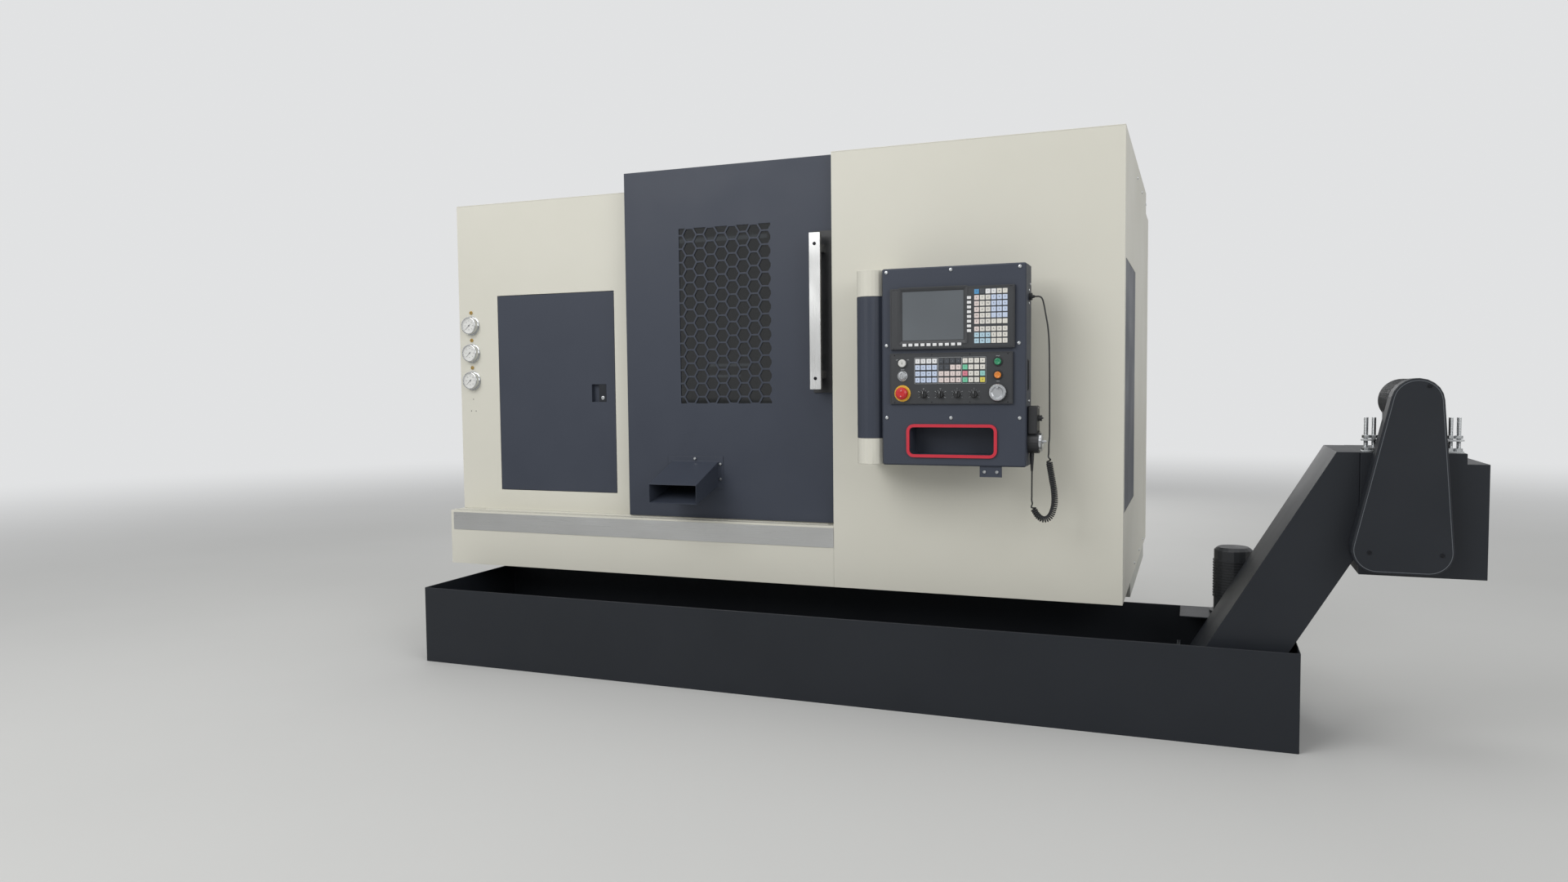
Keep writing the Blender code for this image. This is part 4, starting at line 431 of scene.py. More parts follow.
box_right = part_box("pendant_body")[0].x - 0.0003
side_way = Matrix.Rotation(math.radians(90), 4, "Y")
cord_height = (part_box("cord_plug")[0].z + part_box("cord_plug")[1].z) / 2
cord_depth = (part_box("cord_plug")[0].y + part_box("cord_plug")[1].y) / 2
side_screws = [at(box_right, cord_depth, z, side_way)
               for z in (cord_height - 0.021, cord_height + 0.021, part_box("pendant_body")[1].z + 0.016)]
side_screws += [at(box_right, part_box("control_box")[1].y - 0.022, z, side_way)
                for z in (face_bottom + 0.06, face_bottom + 0.59)]
set_out("side_screws", pan_screw(0.0045, 0.0022), side_screws, zinc_screw, "control_station")


# Port on the box's right side: a black ABS frame round its slot, pressed in from outside.
# The mould's fine texture keeps the black dull; the slot is a flat pad in painted shade, dark as its unlit
# hollow.
moulded_black = textured("moulded_black_abs", "#1B1C1E", "#212224", 0.02, 0.0006, 0.00006, 0.42, 0.06)
# Painted shade: a near black laid as flat pads in slots and recesses, where the light doesn't reach.
painted_slot_shade = textured("dark_unlit_inside", "#0B0B0C", "#101011", 0.02, 0.001, 0.00003, 0.7, 0.04)


def rounded(width, height, radius, steps=3):
    """Corner points of a rectangle with round corners, about its middle."""
    points = []
    for quarter, (sx, sy) in enumerate(((1, 1), (-1, 1), (-1, -1), (1, -1))):
        for step in range(steps + 1):
            angle = math.pi / 2 * (quarter + step / steps)
            points.append((sx * (width / 2 - radius) + radius * math.cos(angle),
                           sy * (height / 2 - radius) + radius * math.sin(angle)))
    return points


def pad(shape, place, size, low, high, radius, edge, slot=0, steps=2):
    """Adds a plate with round corners and a chamfered top edge, centred on its place."""
    wide, tall = size
    small = rounded(wide - 2 * edge, tall - 2 * edge, max(radius - edge, 0.0001), steps)
    full = rounded(wide, tall, radius, steps)
    loft(shape, place, [(full, low), (full, high - edge), (small, high)], True, slot)


def frame_bar(shape, place, size, bar, low, high, radius, edge, slot=0, steps=3):
    """Adds a frame with round corners: bar is its width, and both its top edges are chamfered."""
    wide, tall = size

    def outline(inset):
        return rounded(wide - 2 * inset, tall - 2 * inset, max(radius - inset, 0.0002), steps)

    section = ((0, low), (0, high - edge), (edge, high), (bar - edge, high), (bar, high - edge), (bar, low))
    loft(shape, place, [(outline(inset), z) for inset, z in section], False, slot)


port = bmesh.new()
port_depth = (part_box("control_box")[0].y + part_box("control_box")[1].y) / 2 - 0.012
port_place = at(box_right, port_depth, face_bottom + 0.296, side_way)
frame_bar(port, port_place, (0.100, 0.020), 0.0035, 0, 0.0022, 0.004, 0.0005)
# The port's slot: a flat pad in painted shade.
pad(port, port_place, (0.094, 0.014), 0, 0.0006, 0.002, 0.0002, 1)
mesh_piece("port_frame", port, [moulded_black, painted_slot_shade], "control_station")


# Bracket screws: two socket-head screws through the bracket below the box's right end.
# Zinc-plated steel, which stands out bright against the dark sheet.
bracket_left, bracket_wide = 0.3245, 0.072
bracket_screws = [on_face(bracket_left + bracket_wide * share, -0.018, -0.0079) for share in (0.22, 0.78)]
set_out("bracket_screws", hex_screw(0.011, 0.005, 0.003), bracket_screws, zinc_screw, "control_station")


# Display unit: a black moulded frame around the screen, with a printed membrane and raised keys.
# Its moulding is fine-grained ABS; the screen is toughened glass over a dark display that is switched off.
# The glass mirrors the hall softly, and the membrane is smoother than the moulding round it.
panel_mould = textured("fine_grained_abs", "#2A2C2F", "#303235", 0.03, 0.0005, 0.00006, 0.45, 0.05)
membrane = textured("printed_polyester_film", "#33363A", "#2F3236", 0.05, 0.0008, 0.00003, 0.40, 0.04)
dress(panel_mould, "nc_unit")
soften(0.0008, "nc_unit")
screen_glass, screen_tree, screen_shader = coat(
    "toughened_display_glass", Roughness=0.08, IOR=1.52, Specular_IOR_Level=0.5, Coat_Weight=0.6,
    Coat_Roughness=0.03)
screen_place = add(screen_tree, "ShaderNodeTexCoord").outputs["Object"]
screen_cloud = add(screen_tree, "ShaderNodeTexNoise", {"Vector": screen_place, "Scale": 5.0, "Detail": 1.0})
screen_mix = add(screen_tree, "ShaderNodeMix", {
    0: screen_cloud.outputs["Fac"], 6: linear("#4A4F54"), 7: linear("#5A6065")}, data_type="RGBA")
feed(screen_tree, screen_shader, Base_Color=screen_mix.outputs[2])
dress(screen_glass, "nc_screen")

unit_face = face_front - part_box("nc_unit")[0].y - 0.002  # how far its front stands out of the box
screen_frame, unit_frame, keypad = (0.232, 0.188), (0.404, 0.1955), (0.116, 0.186)
unit = bmesh.new()
frame_bar(unit, on_face(0.174, 0.493, unit_face), screen_frame, 0.012, 0, 0.0014, 0.006, 0.0006)
frame_bar(unit, on_face(0.235, 0.484, unit_face), unit_frame, 0.0018, 0, 0.0008, 0.004, 0.0003)
pad(unit, on_face(0.3643, 0.4830, unit_face), keypad, 0, 0.0004, 0.003, 0.0001, 1)
mesh_piece("display_surround", unit, [panel_mould, membrane], "control_station")


# Keys of the display unit: two-shot ABS caps with a dished top and a dark legend, in a block of 6 by 9.
# Ten soft keys lie below the screen and eight beside it. The legends are plain letters, digits and arrows.
# Handling leaves the satin plastic faintly mottled, so that no two highlights are alike.
def key_cap(size, height):
    """A key's cap: slightly tapered sides, a small chamfer and a top that is dished a little."""
    form = bmesh.new()
    wide, tall = size
    loft(form, Matrix(), [(rounded(wide - narrower, tall - shorter, 0.0008, 2), height - down)
                          for narrower, shorter, down in ((0, 0, height), (0.0001, 0.0001, 0.0005),
                                                          (0.0016, 0.0016, 0), (0.0050, 0.0036, 0.0002))])
    return form


def key_finish(name, colour, shade):
    """Moulded ABS of a key: satin, with the faint mottling of handled plastic."""
    return textured(name, colour, shade, 0.012, 0.0006, 0.00003, 0.40, 0.04)


ivory_key = key_finish("ivory_abs_key", "#DAD8D0", "#D3D0C8")
white_key = key_finish("white_abs_key", "#E0E0E0", "#D8D9DA")
sky_key = key_finish("pale_blue_abs_key", "#C3CFE4", "#BAC7DE")
cyan_key = key_finish("pale_cyan_abs_key", "#AFCBD8", "#A6C3D1")
blue_key = key_finish("blue_abs_key", "#4F8FBE", "#4785B3")
rose_key = key_finish("pale_rose_abs_key", "#DCCFCB", "#D5C7C3")
red_key = key_finish("pink_red_abs_key", "#D5808F", "#CC7786")
green_key = key_finish("mint_green_abs_key", "#72C3A0", "#69BA97")
teal_key = key_finish("pale_teal_abs_key", "#93C9C3", "#8AC0BA")
yellow_key = key_finish("yellow_abs_key", "#D6C95C", "#CDC053")
dark_key = key_finish("dark_abs_key", "#3A3E44", "#40444A")
legend_ink = textured("dark_pad_printed_ink", "#33363C", "#3A3D43", 0.01, 0.001, 0.00001, 0.5, 0.03)
pale_ink = textured("pale_screen_printed_ink", "#C9CCCE", "#BFC2C4", 0.01, 0.001, 0.00001, 0.5, 0.03)

flat_letters = {}


def lettering(shape, place, text, height, slot=0):
    """Adds flat print to a shape, centred on its place."""
    if text not in flat_letters:
        curve = bpy.data.curves.new("letters", "FONT")
        curve.body = text
        curve.size = 1
        curve.resolution_u = 2
        curve.align_x = "CENTER"
        curve.align_y = "CENTER"
        holder = bpy.data.objects.new("letters", curve)
        bpy.context.scene.collection.objects.link(holder)
        flat_letters[text] = bpy.data.meshes.new_from_object(
            holder.evaluated_get(bpy.context.evaluated_depsgraph_get()))
        bpy.data.objects.remove(holder)
        bpy.data.curves.remove(curve)
    flat = flat_letters[text].copy()
    flat.transform(place @ Matrix.Scale(height, 4))
    count = len(shape.faces)
    shape.from_mesh(flat)
    bpy.data.meshes.remove(flat)
    shape.faces.ensure_lookup_table()
    for face in shape.faces[count:]:
        face.material_index = slot


key_height = 0.0026
key_pitch, key_rise = 0.0182, 0.0192
first_key_x, first_key_z = 0.3188, 0.56525
key_groups = {}
legends = bmesh.new()
legend_rows = (
    "+-?=#*", "XYZ789", "UVW456", "FHD123", "MST-0.", "PQR/;:", "GNOABC", "↑↓→EIK", "←%()LJ")
for row in range(9):
    for column in range(6):
        lowered = 0.0045 if row > 5 else 0  # a gap sets the last three rows apart
        place = on_face(first_key_x + key_pitch * column, first_key_z - key_rise * row - lowered, unit_face)
        if row == 0:
            finish = (blue_key, dark_key, white_key, white_key, ivory_key, ivory_key)[column]
        elif row < 5 and column > 2:
            finish = sky_key
        elif row > 6 and column < 3:
            finish = cyan_key
        elif column == 0:
            finish = rose_key
        else:
            finish = ivory_key
        key_groups.setdefault(finish.name, (finish, []))[1].append(place)
        lettering(legends, place @ at(0, 0, key_height + 0.0001), legend_rows[row][column], 0.0080)
for finish, places in key_groups.values():
    set_out("display_keys_" + finish.name, key_cap((0.0151, 0.0151), key_height), places, finish,
            "control_station")
mesh_piece("display_key_legends", legends, [legend_ink], "control_station")
soft_pitch_below, soft_pitch_beside = 0.0203, 0.0152
soft_places = [on_face(0.0795 + soft_pitch_below * index, 0.3985, unit_face) for index in range(10)]
soft_places += [on_face(0.2942, 0.5470 - soft_pitch_beside * index, unit_face) for index in range(8)]
set_out("soft_keys", key_cap((0.0131, 0.0091), key_height), soft_places, white_key, "control_station")


# Operator panel: a printed film over an aluminium plate in an ABS frame, with three blocks of sixteen keys.
# Same key caps as above in the panel's own colours; six keys in the middle are lit ones, dark when off.
dress(panel_mould, "operator_panel")
soften(0.0008, "operator_panel")
plate_face = face_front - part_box("e_stop_ring")[1].y - 0.0003
panel = bmesh.new()
panel_frame, block_frame, block_pitch = (0.4030, 0.1650), (0.0784, 0.0860), 0.0788
frame_bar(panel, on_face(0.2314, 0.2877, plate_face), panel_frame, 0.0020, 0, 0.0009, 0.004, 0.0003)
for block in range(3):
    frame_bar(panel, on_face(0.1516 + block_pitch * block, 0.3135, plate_face), block_frame, 0.0006, 0, 0.0002,
              0.003, 0.00005, 1, 2)
mesh_piece("panel_surround", panel, [panel_mould, pale_ink], "control_station")

panel_groups = {}
panel_legends = bmesh.new()
lit_legends = bmesh.new()
panel_rows = ("1234----5678", "XZYC--=%*+-#", "UVW↑<>()o←→|", "ABCD12345678")
special = {(1, 8): green_key, (2, 8): red_key, (3, 8): green_key, (2, 11): teal_key, (3, 11): yellow_key}
for row in range(4):
    for column in range(12):
        block, key = divmod(column, 4)
        place = on_face(0.1231 + block_pitch * block + 0.0190 * key, 0.3445 - 0.0207 * row, plate_face)
        lit = (row == 0 and 4 <= column < 8) or (row == 1 and column in (4, 5))
        if lit:
            finish = dark_key
        elif (row, column) in special:
            finish = special[(row, column)]
        elif column < 4:
            finish = sky_key if row else white_key
        elif column < 8:
            finish = rose_key
        else:
            finish = ivory_key
        panel_groups.setdefault(finish.name, (finish, []))[1].append(place)
        lettering(lit_legends if lit else panel_legends, place @ at(0, 0, key_height + 0.0001),
                  panel_rows[row][column], 0.0072)
for finish, places in panel_groups.values():
    set_out("panel_keys_" + finish.name, key_cap((0.0156, 0.0156), key_height), places, finish,
            "control_station")
mesh_piece("panel_key_legends", panel_legends, [legend_ink], "control_station")
mesh_piece("lit_key_legends", lit_legends, [pale_ink], "control_station")


# Emergency stop: a red mushroom head with turning arrows on a yellow collar, both moulded in glossy ABS.
# The head latches when it is pressed, and a turn lets it out. The gloss gives small, sharp highlights.
stop_red = textured("glossy_red_abs", "#C42A2C", "#BA2527", 0.03, 0.002, 0.00003, 0.24, 0.03)
collar_yellow = textured("glossy_yellow_abs", "#E0B03A", "#D8A734", 0.03, 0.002, 0.00003, 0.28, 0.03)
dress(stop_red, "e_stop_button")
dress(collar_yellow, "e_stop_ring")


def seat_of(node, front=False):
    """The middle of a part's back, or of its front, with z towards the operator, and the part's depth."""
    low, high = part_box(node)
    place = at((low.x + high.x) / 2, low.y if front else high.y, (low.z + high.z) / 2, facing)
    return place, high.y - low.y


def stand_in(piece, node):
    """Hides a CAD node where a finer piece stands in for it; the piece itself is not used."""
    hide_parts(node)


def turned_piece(name, place, profile, finish, body, steps=32, ends=True, smooth=40):
    """A finished piece that is one turned form."""
    shape = bmesh.new()
    turned(shape, place, profile, steps, ends)
    return mesh_piece(name, shape, [finish], body, smooth)


stop_place = seat_of("e_stop_button", True)[0]
stop_head = turned_piece("stop_head", stop_place, [
    (0.0205, -0.0140), (0.0205, -0.0072), (0.0196, -0.0046), (0.0172, -0.0024), (0.0132, -0.0012), (0.0125, 0),
    (0.0060, 0), (0.0055, -0.0006)], stop_red, "emergency_stop", 40, True, 50)
stand_in(stop_head, "e_stop_button")
arrows = bmesh.new()
for half_turn in (0, math.pi):
    lettering(arrows, stop_place @ Matrix.Rotation(half_turn, 4, "Z") @ at(0, 0.0092, 0.0001), "→", 0.0075)
mesh_piece("stop_arrows", arrows, [pale_ink], "emergency_stop")
turned_piece("stop_stem", stop_place, [(0.0110, -0.0225), (0.0110, -0.0138)], stop_red, "emergency_stop", 24)


# Cycle start and feed hold: lit push buttons with a clear coloured lens in a black bezel nut.
# Polycarbonate lenses, glossy, with rings moulded inside that break up the light.
def lens_finish(name, colour, shade):
    """Clear coloured polycarbonate, glossier than the mouldings round it."""
    return textured(name, colour, shade, 0.006, 0.0012, 0.00006, 0.16, 0.03, Coat_Weight=0.5)


def behind(node):
    """The operator panel's face behind the middle of a part, with z towards the operator."""
    low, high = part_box(node)
    return at((low.x + high.x) / 2, face_front - plate_face, (low.z + high.z) / 2, facing)


green_lens = lens_finish("green_polycarbonate_lens", "#1E8A5E", "#187A52")
orange_lens = lens_finish("orange_polycarbonate_lens", "#D98227", "#CE761F")
for node, body, lens_colour, slot in (("start_button", "cycle_start", green_lens, "signal_green"),
                                      ("hold_button", "feed_hold", orange_lens, "signal_orange")):
    place, reach = seat_of(node, True)
    button = turned_piece(node + "_lens", place, [
        (0.0110, -reach), (0.0110, -0.0022), (0.0103, -0.0008), (0.0088, 0), (0.0080, 0), (0.0074, -0.0008),
        (0.0050, -0.0011)], lens_colour, body, 32, True, 50)
    stand_in(button, node)
    turned_piece(node + "_bezel", behind(node), [
        (0.0155, 0), (0.0155, 0.0022), (0.0146, 0.0032), (0.0122, 0.0032), (0.0116, 0.0026), (0.0116, 0)],
        moulded_black, "control_station", 32, False)


# Key switch and mode selector: a pale round lock with its key slot, and a chromed three-way selector.
# The lock's face is moulded; the selector is die-cast zinc, chromed so bright that it mirrors the hall.
pale_mould = textured("pale_grey_polyamide", "#CFCFCB", "#C7C7C3", 0.02, 0.0006, 0.00004, 0.38, 0.04)
chrome = ground("bright_chrome_plate", "#D4D6D8", "#C8CACC", "Y", 0.003, 0.10, (0, 0, 0))
lock_place, reach = seat_of("key_switch")
lock = bmesh.new()
turned(lock, lock_place, [(0.0128, 0), (0.0128, reach - 0.0016), (0.0114, reach - 0.0002), (0.0076, reach),
                          (0.0070, reach - 0.0010), (0.0010, reach - 0.0010)], 32)
# The key slot is a flat pad in painted shade.
pad(lock, lock_place, (0.0016, 0.0082), reach - 0.0012, reach - 0.0008, 0.0006, 0.00005, 1)
stand_in(mesh_piece("lock_barrel", lock, [pale_mould, painted_slot_shade], "key"), "key_switch")

selector_place, reach = seat_of("mode_selector")
selector = bmesh.new()
turned(selector, selector_place, [(0.0135, 0), (0.0135, 0.0030), (0.0125, 0.0042), (0.0100, 0.0044),
                                  (0.0094, reach * 0.7)], 32)
pad(selector, selector_place, (0.0068, 0.0240), 0.0040, reach, 0.0030, 0.0010)
# A thin line on the lever's top, in painted shade.
pad(selector, selector_place @ at(0, 0.0080, 0), (0.0014, 0.0060), reach - 0.0001, reach, 0.0004, 0.00005, 1)
stand_in(mesh_piece("selector_lever", selector, [chrome, painted_slot_shade], "selector"), "mode_selector")
turned_piece("selector_bezel", on_face(0.0717, 0.2965, plate_face), [
    (0.0172, 0), (0.0172, 0.0014), (0.0163, 0.0024), (0.0144, 0.0024), (0.0140, 0.0016), (0.0140, 0)], chrome,
    "control_station", 32, False)


# Override knobs: four black ABS knobs with a grip bar and a white line, over printed scales of nine marks.
# The marks are short white ticks, set out round each knob by the tree; every other one has a figure.
def tick_form(half, length, thickness):
    """A scale's mark: a flat strip that starts at its place and points along y."""
    form = bmesh.new()
    outline = [(-half, 0), (half, 0), (half, length), (-half, length)]
    loft(form, Matrix(), [(outline, 0), (outline, thickness)])
    return form


def round_dial(place, angle, radius, out):
    """A place on a dial, at an angle from straight up and a radius, that keeps the dial's upright."""
    return place @ at(-radius * math.sin(angle), radius * math.cos(angle), out)


tick_radius, figure_radius = 0.0142, 0.0190
tick_places = []
scale_figures = bmesh.new()
for index in range(4):
    node = "knob_%d" % (index + 1)
    place, reach = seat_of(node)
    knob = bmesh.new()
    turned(knob, place, [(0.0125, 0), (0.0125, 0.0026), (0.0112, 0.0034), (0.0106, reach * 0.62),
                         (0.0098, reach * 0.70), (0.0020, reach * 0.70)], 28)
    pad(knob, place, (0.0052, 0.0208), reach * 0.3, reach, 0.0020, 0.0008)
    pad(knob, place @ at(0, 0.0066, 0), (0.0009, 0.0070), reach, reach + 0.00005, 0.0003, 0.00002, 1)
    stand_in(mesh_piece(node + "_grip", knob, [moulded_black, pale_ink], "dial_%d" % (index + 1)), node)
    base = behind(node)
    for step in range(9):
        angle = math.radians(120 - 30 * step)
        tick_places.append(base @ Matrix.Rotation(angle, 4, "Z") @ at(0, tick_radius, 0.0001))
        if step % 2 == 0:
            lettering(scale_figures, round_dial(base, angle, figure_radius, 0.0002),
                      str(step * 25 if index < 2 else step // 2 + 1), 0.0036)
set_out("knob_scales", tick_form(0.0003, 0.0018, 0.00008), tick_places, pale_ink, "control_station")
mesh_piece("scale_figures", scale_figures, [pale_ink], "control_station")


# Hand wheel of the axes: a turned aluminium dish with a folding grip, over a printed ring of fifty divisions.
# Clear-anodised, so it keeps fine turned rings, which catch the light as a bright cross.
wheel_axis = (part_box("panel_handwheel")[0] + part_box("panel_handwheel")[1]) / 2
turned_aluminium = ground("turned_anodised_aluminium", "#B9BBBD", "#ACAEB1", "Y", 0.0011, 0.34,
                          (wheel_axis.x, 0, wheel_axis.z))
dress(turned_aluminium, "panel_handwheel")
soften(0.0006, "panel_handwheel")
wheel_place = on_face(0.3868, 0.2404, plate_face)
turned_piece("wheel_scale_ring", wheel_place, [(0.0315, 0), (0.0315, 0.0004), (0.0290, 0.0006)], moulded_black,
             "control_station", 48)
divisions = 50
wheel_ticks = [wheel_place @ Matrix.Rotation(2 * math.pi * step / divisions, 4, "Z") @ at(0, 0.0296, 0.0004)
               for step in range(divisions)]
set_out("wheel_scale", tick_form(0.00018, 0.0014, 0.00005), wheel_ticks, pale_ink, "control_station")


# Captions of the operator panel and the small screws that hold both units.
# The captions are screen-printed in pale ink; the screws are blackened, with pan heads.
captions = bmesh.new()
for caption, u, w in (("AUTO", 0.0717, 0.3175), ("ON", 0.0900, 0.3500), ("OFF", 0.0530, 0.3500),
                      ("START", 0.3866, 0.3580), ("STOP", 0.3866, 0.2770)):
    lettering(captions, on_face(u, w, plate_face + 0.0001), caption, 0.0042)
mesh_piece("panel_captions", captions, [pale_ink], "control_station")
panel_screws = [on_face(0.0284 + 0.406 * share, w, plate_face)
                for w in (0.3650, 0.2100) for share in (0.04, 0.35, 0.66, 0.96)]
panel_screws += [on_face(0.030 + 0.410 * share, w, unit_face)
                 for w in (0.5805, 0.3875) for share in (0.03, 0.60, 0.97)]
set_out("panel_screws", pan_screw(0.0019, 0.0008), panel_screws, black_screw, "control_station")


# Tray trim: a crimson moulded bezel round the tray's mouth; the pocket behind it is the box's own sheet.
# Polypropylene, pressed into the opening; its satin skin keeps the red even, with soft highlights.
crimson_mould = textured("crimson_polypropylene", "#C3283B", "#B92436", 0.03, 0.0006, 0.00004, 0.36, 0.05)
dress(crimson_mould, "tray_trim")
soften(0.0012, "tray_trim")


# Handheld unit: a black housing that hangs by the box's side, with an axis knob and a pulse wheel.
# Glass-filled nylon with a fine grain; the wheel is turned aluminium, and letters are printed round the knob.
grained_nylon = textured("glass_filled_nylon", "#1D1E20", "#242528", 0.02, 0.0007, 0.00010, 0.46, 0.05)
dress(grained_nylon, "pendant_body")
soften(0.0015, "pendant_body")
pulse_axis = (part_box("pendant_wheel")[0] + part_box("pendant_wheel")[1]) / 2
pulse_metal = ground("turned_aluminium_wheel", "#C6C8CA", "#B9BBBE", "X", 0.0009, 0.25,
                     (0, pulse_axis.y, pulse_axis.z))
dress(pulse_metal, "pendant_wheel")
soften(0.0005, "pendant_wheel")
dress(moulded_black, "pendant_knob", "cord_plug")
soften(0.0005, "pendant_knob", "cord_plug")
knob_low, knob_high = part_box("pendant_knob")
knob_middle = (knob_low + knob_high) / 2
facing_right = Matrix(((0, 0, 1, 0), (1, 0, 0, 0), (0, 1, 0, 0), (0, 0, 0, 1)))
pendant_marks = bmesh.new()
for step, letter in enumerate("XYZ4"):
    angle = math.radians(60 - 40 * step)
    letter_place = at(knob_low.x + 0.0040, knob_middle.y + 0.0150 * math.sin(angle),
                      knob_middle.z + 0.0150 * math.cos(angle), facing_right)
    lettering(pendant_marks, letter_place, letter, 0.0045)
mesh_piece("pendant_letters", pendant_marks, [pale_ink], "control_station")
pendant_low, pendant_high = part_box("pendant_body")
pendant_screws = [at(knob_low.x + 0.0037, y, pendant_high.z - 0.0060, side_way)
                  for y in (pendant_low.y + 0.0075, pendant_high.y - 0.0075)]
set_out("pendant_screws", pan_screw(0.0021, 0.0010), pendant_screws, zinc_screw, "control_station")


# Cord of the handheld unit: black PVC, from its plug in the box's side down to a curly stretch and up again.
# The cord is 5 mm thick and the coil is 22 mm across. Its satin skin gives each turn a thin highlight.
cord_jacket = textured("pvc_cord_jacket", "#17181A", "#202224", 0.02, 0.0012, 0.00008, 0.42, 0.05)
cord_radius = 0.0025
coil_turn_radius = 0.0085
coil_turns = 44
cord_plane = -0.170
upper_route = (
    (2.4688, 1.3770), (2.4750, 1.3770), (2.4820, 1.3765), (2.4910, 1.3700), (2.4965, 1.3530),
    (2.5020, 1.3230), (2.5100, 1.2760), (2.5140, 1.2200), (2.5155, 1.1200), (2.5160, 1.0100),
    (2.5160, 0.9300), (2.5141, 0.9000), (2.5140, 0.8820))
coil_route = (
    (2.5140, 0.8820), (2.5140, 0.8700), (2.5160, 0.8400), (2.5240, 0.7920), (2.5310, 0.7500), (2.5320, 0.7050),
    (2.5200, 0.6680), (2.5010, 0.6560), (2.4830, 0.6640), (2.4680, 0.6860), (2.4605, 0.7080), (2.4603, 0.7290))
tail_route = ((2.4603, 0.7290), (2.4603, 0.7500), (2.4605, 0.7800), (2.4608, 0.8127))


def smooth_line(points, steps):
    """Points on a smooth curve through a route's own x and z pairs, in the cord's plane."""
    knots = [machine + Vector((x, cord_plane, z)) for x, z in points]
    knots = [2 * knots[0] - knots[1]] + knots + [2 * knots[-1] - knots[-2]]
    line = []
    for a, b, c, d in zip(knots, knots[1:], knots[2:], knots[3:]):
        for step in range(steps):
            t = step / steps
            line.append(0.5 * (2 * b + (c - a) * t + (2 * a - 5 * b + 4 * c - d) * t * t
                               + (3 * b - a - 3 * c + d) * t * t * t))
    return line + [knots[-2]]


def coil_line(points, radius, turns, steps, easing=2):
    """A helix wound round a smooth line, eased over its end turns, so that it meets the plain cord."""
    line = smooth_line(points, 12)
    reach = [0]
    for a, b in zip(line, line[1:]):
        reach.append(reach[-1] + (b - a).length)
    count = turns * steps
    eases = []
    for step in range(count + 1):
        share = min(1, step / steps / easing, (count - step) / steps / easing)
        eases.append(share * share * (3 - 2 * share))
    passed = [0]
    for ease in eases[1:]:
        passed.append(passed[-1] + 1 + 5 * (1 - ease))
    wound = []
    index = 0
    for step, ease in enumerate(eases):
        want = reach[-1] * passed[step] / passed[-1]
        while index < len(reach) - 2 and reach[index + 1] < want:
            index += 1
        share = (want - reach[index]) / (reach[index + 1] - reach[index])
        centre = line[index].lerp(line[index + 1], share)
        ahead_here = (line[index + 1] - line[index]).normalized()
        side = ahead_here.cross(Vector((0, 1, 0))).normalized()
        angle = 2 * math.pi * step / steps
        wound.append(centre + (side * math.cos(angle) + Vector((0, 1, 0)) * math.sin(angle)) * radius * ease)
    return wound


cord_path = (smooth_line(upper_route, 6)[:-1] + coil_line(coil_route, coil_turn_radius, coil_turns, 14)
             + smooth_line(tail_route, 6)[1:])
cord_curve = bpy.data.curves.new("handheld_cord", "CURVE")
cord_curve.dimensions = "3D"
cord_curve.bevel_depth = cord_radius
cord_curve.bevel_resolution = 2
cord_curve.use_fill_caps = True
cord_spline = cord_curve.splines.new("POLY")
cord_spline.points.add(len(cord_path) - 1)
for cord_point, cord_place in zip(cord_spline.points, cord_path):
    cord_point.co = (*cord_place, 1)
cord_curve.materials.append(cord_jacket)
cord_object = bpy.data.objects.new("handheld_cord", cord_curve)
bpy.context.scene.collection.objects.link(cord_object)
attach(cord_object, "control_station")
stand_in(cord_object, "cord")


# Enclosure: left, right, lower and roof panels of 3 mm sheet, folded, welded and sprayed in cream enamel.
# The sheets' folded edges are round, and the coat has a faint orange peel that softens every reflection.
cream_enamel = textured("cream_sprayed_enamel", "#D0CEC3", "#CBC9BD", 0.35, 0.0022, 0.00016, 0.47, 0.05,
                        Specular_IOR_Level=0.35)
dress(cream_enamel, "left_panel", "right_panel", "lower_panel", "roof_panel", "rear_cover", "swivel_post")
soften(0.0015, "left_panel", "right_panel", "lower_panel", "rear_cover")
soften(0.0025, "roof_panel")


# Stainless strip on the sill and the door's flat handle: bare stainless steel, brushed along its length.
# The belt leaves hairlines half a millimetre apart at most, drawn here at 2 mm so that they show.
def brushed(name, colour, shade, lines):
    """Bare metal brushed along one axis; lines is how many hairlines lie in a metre along x, y and z."""
    made, tree, shader = coat(name, Metallic=1.0)
    place = add(tree, "ShaderNodeTexCoord").outputs["Object"]
    drawn = add(tree, "ShaderNodeMapping", {"Vector": place, "Scale": lines})
    hair = add(tree, "ShaderNodeTexNoise", {"Vector": drawn.outputs[0], "Scale": 1.0, "Detail": 4.0})
    mixed = add(tree, "ShaderNodeMix", {0: hair.outputs["Fac"], 6: linear(colour), 7: linear(shade)},
                data_type="RGBA")
    gloss = add(tree, "ShaderNodeMapRange", {
        "Value": hair.outputs["Fac"], "From Min": 0.3, "From Max": 0.7, "To Min": 0.26, "To Max": 0.42})
    wave = add(tree, "ShaderNodeTexNoise", {"Vector": place, "Scale": 4.0, "Detail": 1.0})
    swell = add(tree, "ShaderNodeBump", {"Height": wave.outputs["Fac"], "Strength": 1.0, "Distance": 0.012})
    bump = add(tree, "ShaderNodeBump", {
        "Height": hair.outputs["Fac"], "Strength": 0.3, "Distance": 0.0001, "Normal": swell.outputs[0]})
    feed(tree, shader, Base_Color=mixed.outputs[2], Roughness=gloss.outputs[0], Normal=bump.outputs[0])
    return made


dress(brushed("brushed_stainless_strip", "#C4C4C2", "#B2B3B3", (4, 500, 500)), "sill_strip")
dress(brushed("brushed_stainless_handle", "#C9C9C7", "#B8B9B9", (500, 500, 4)), "door_handle")
soften(0.0015, "door_handle")


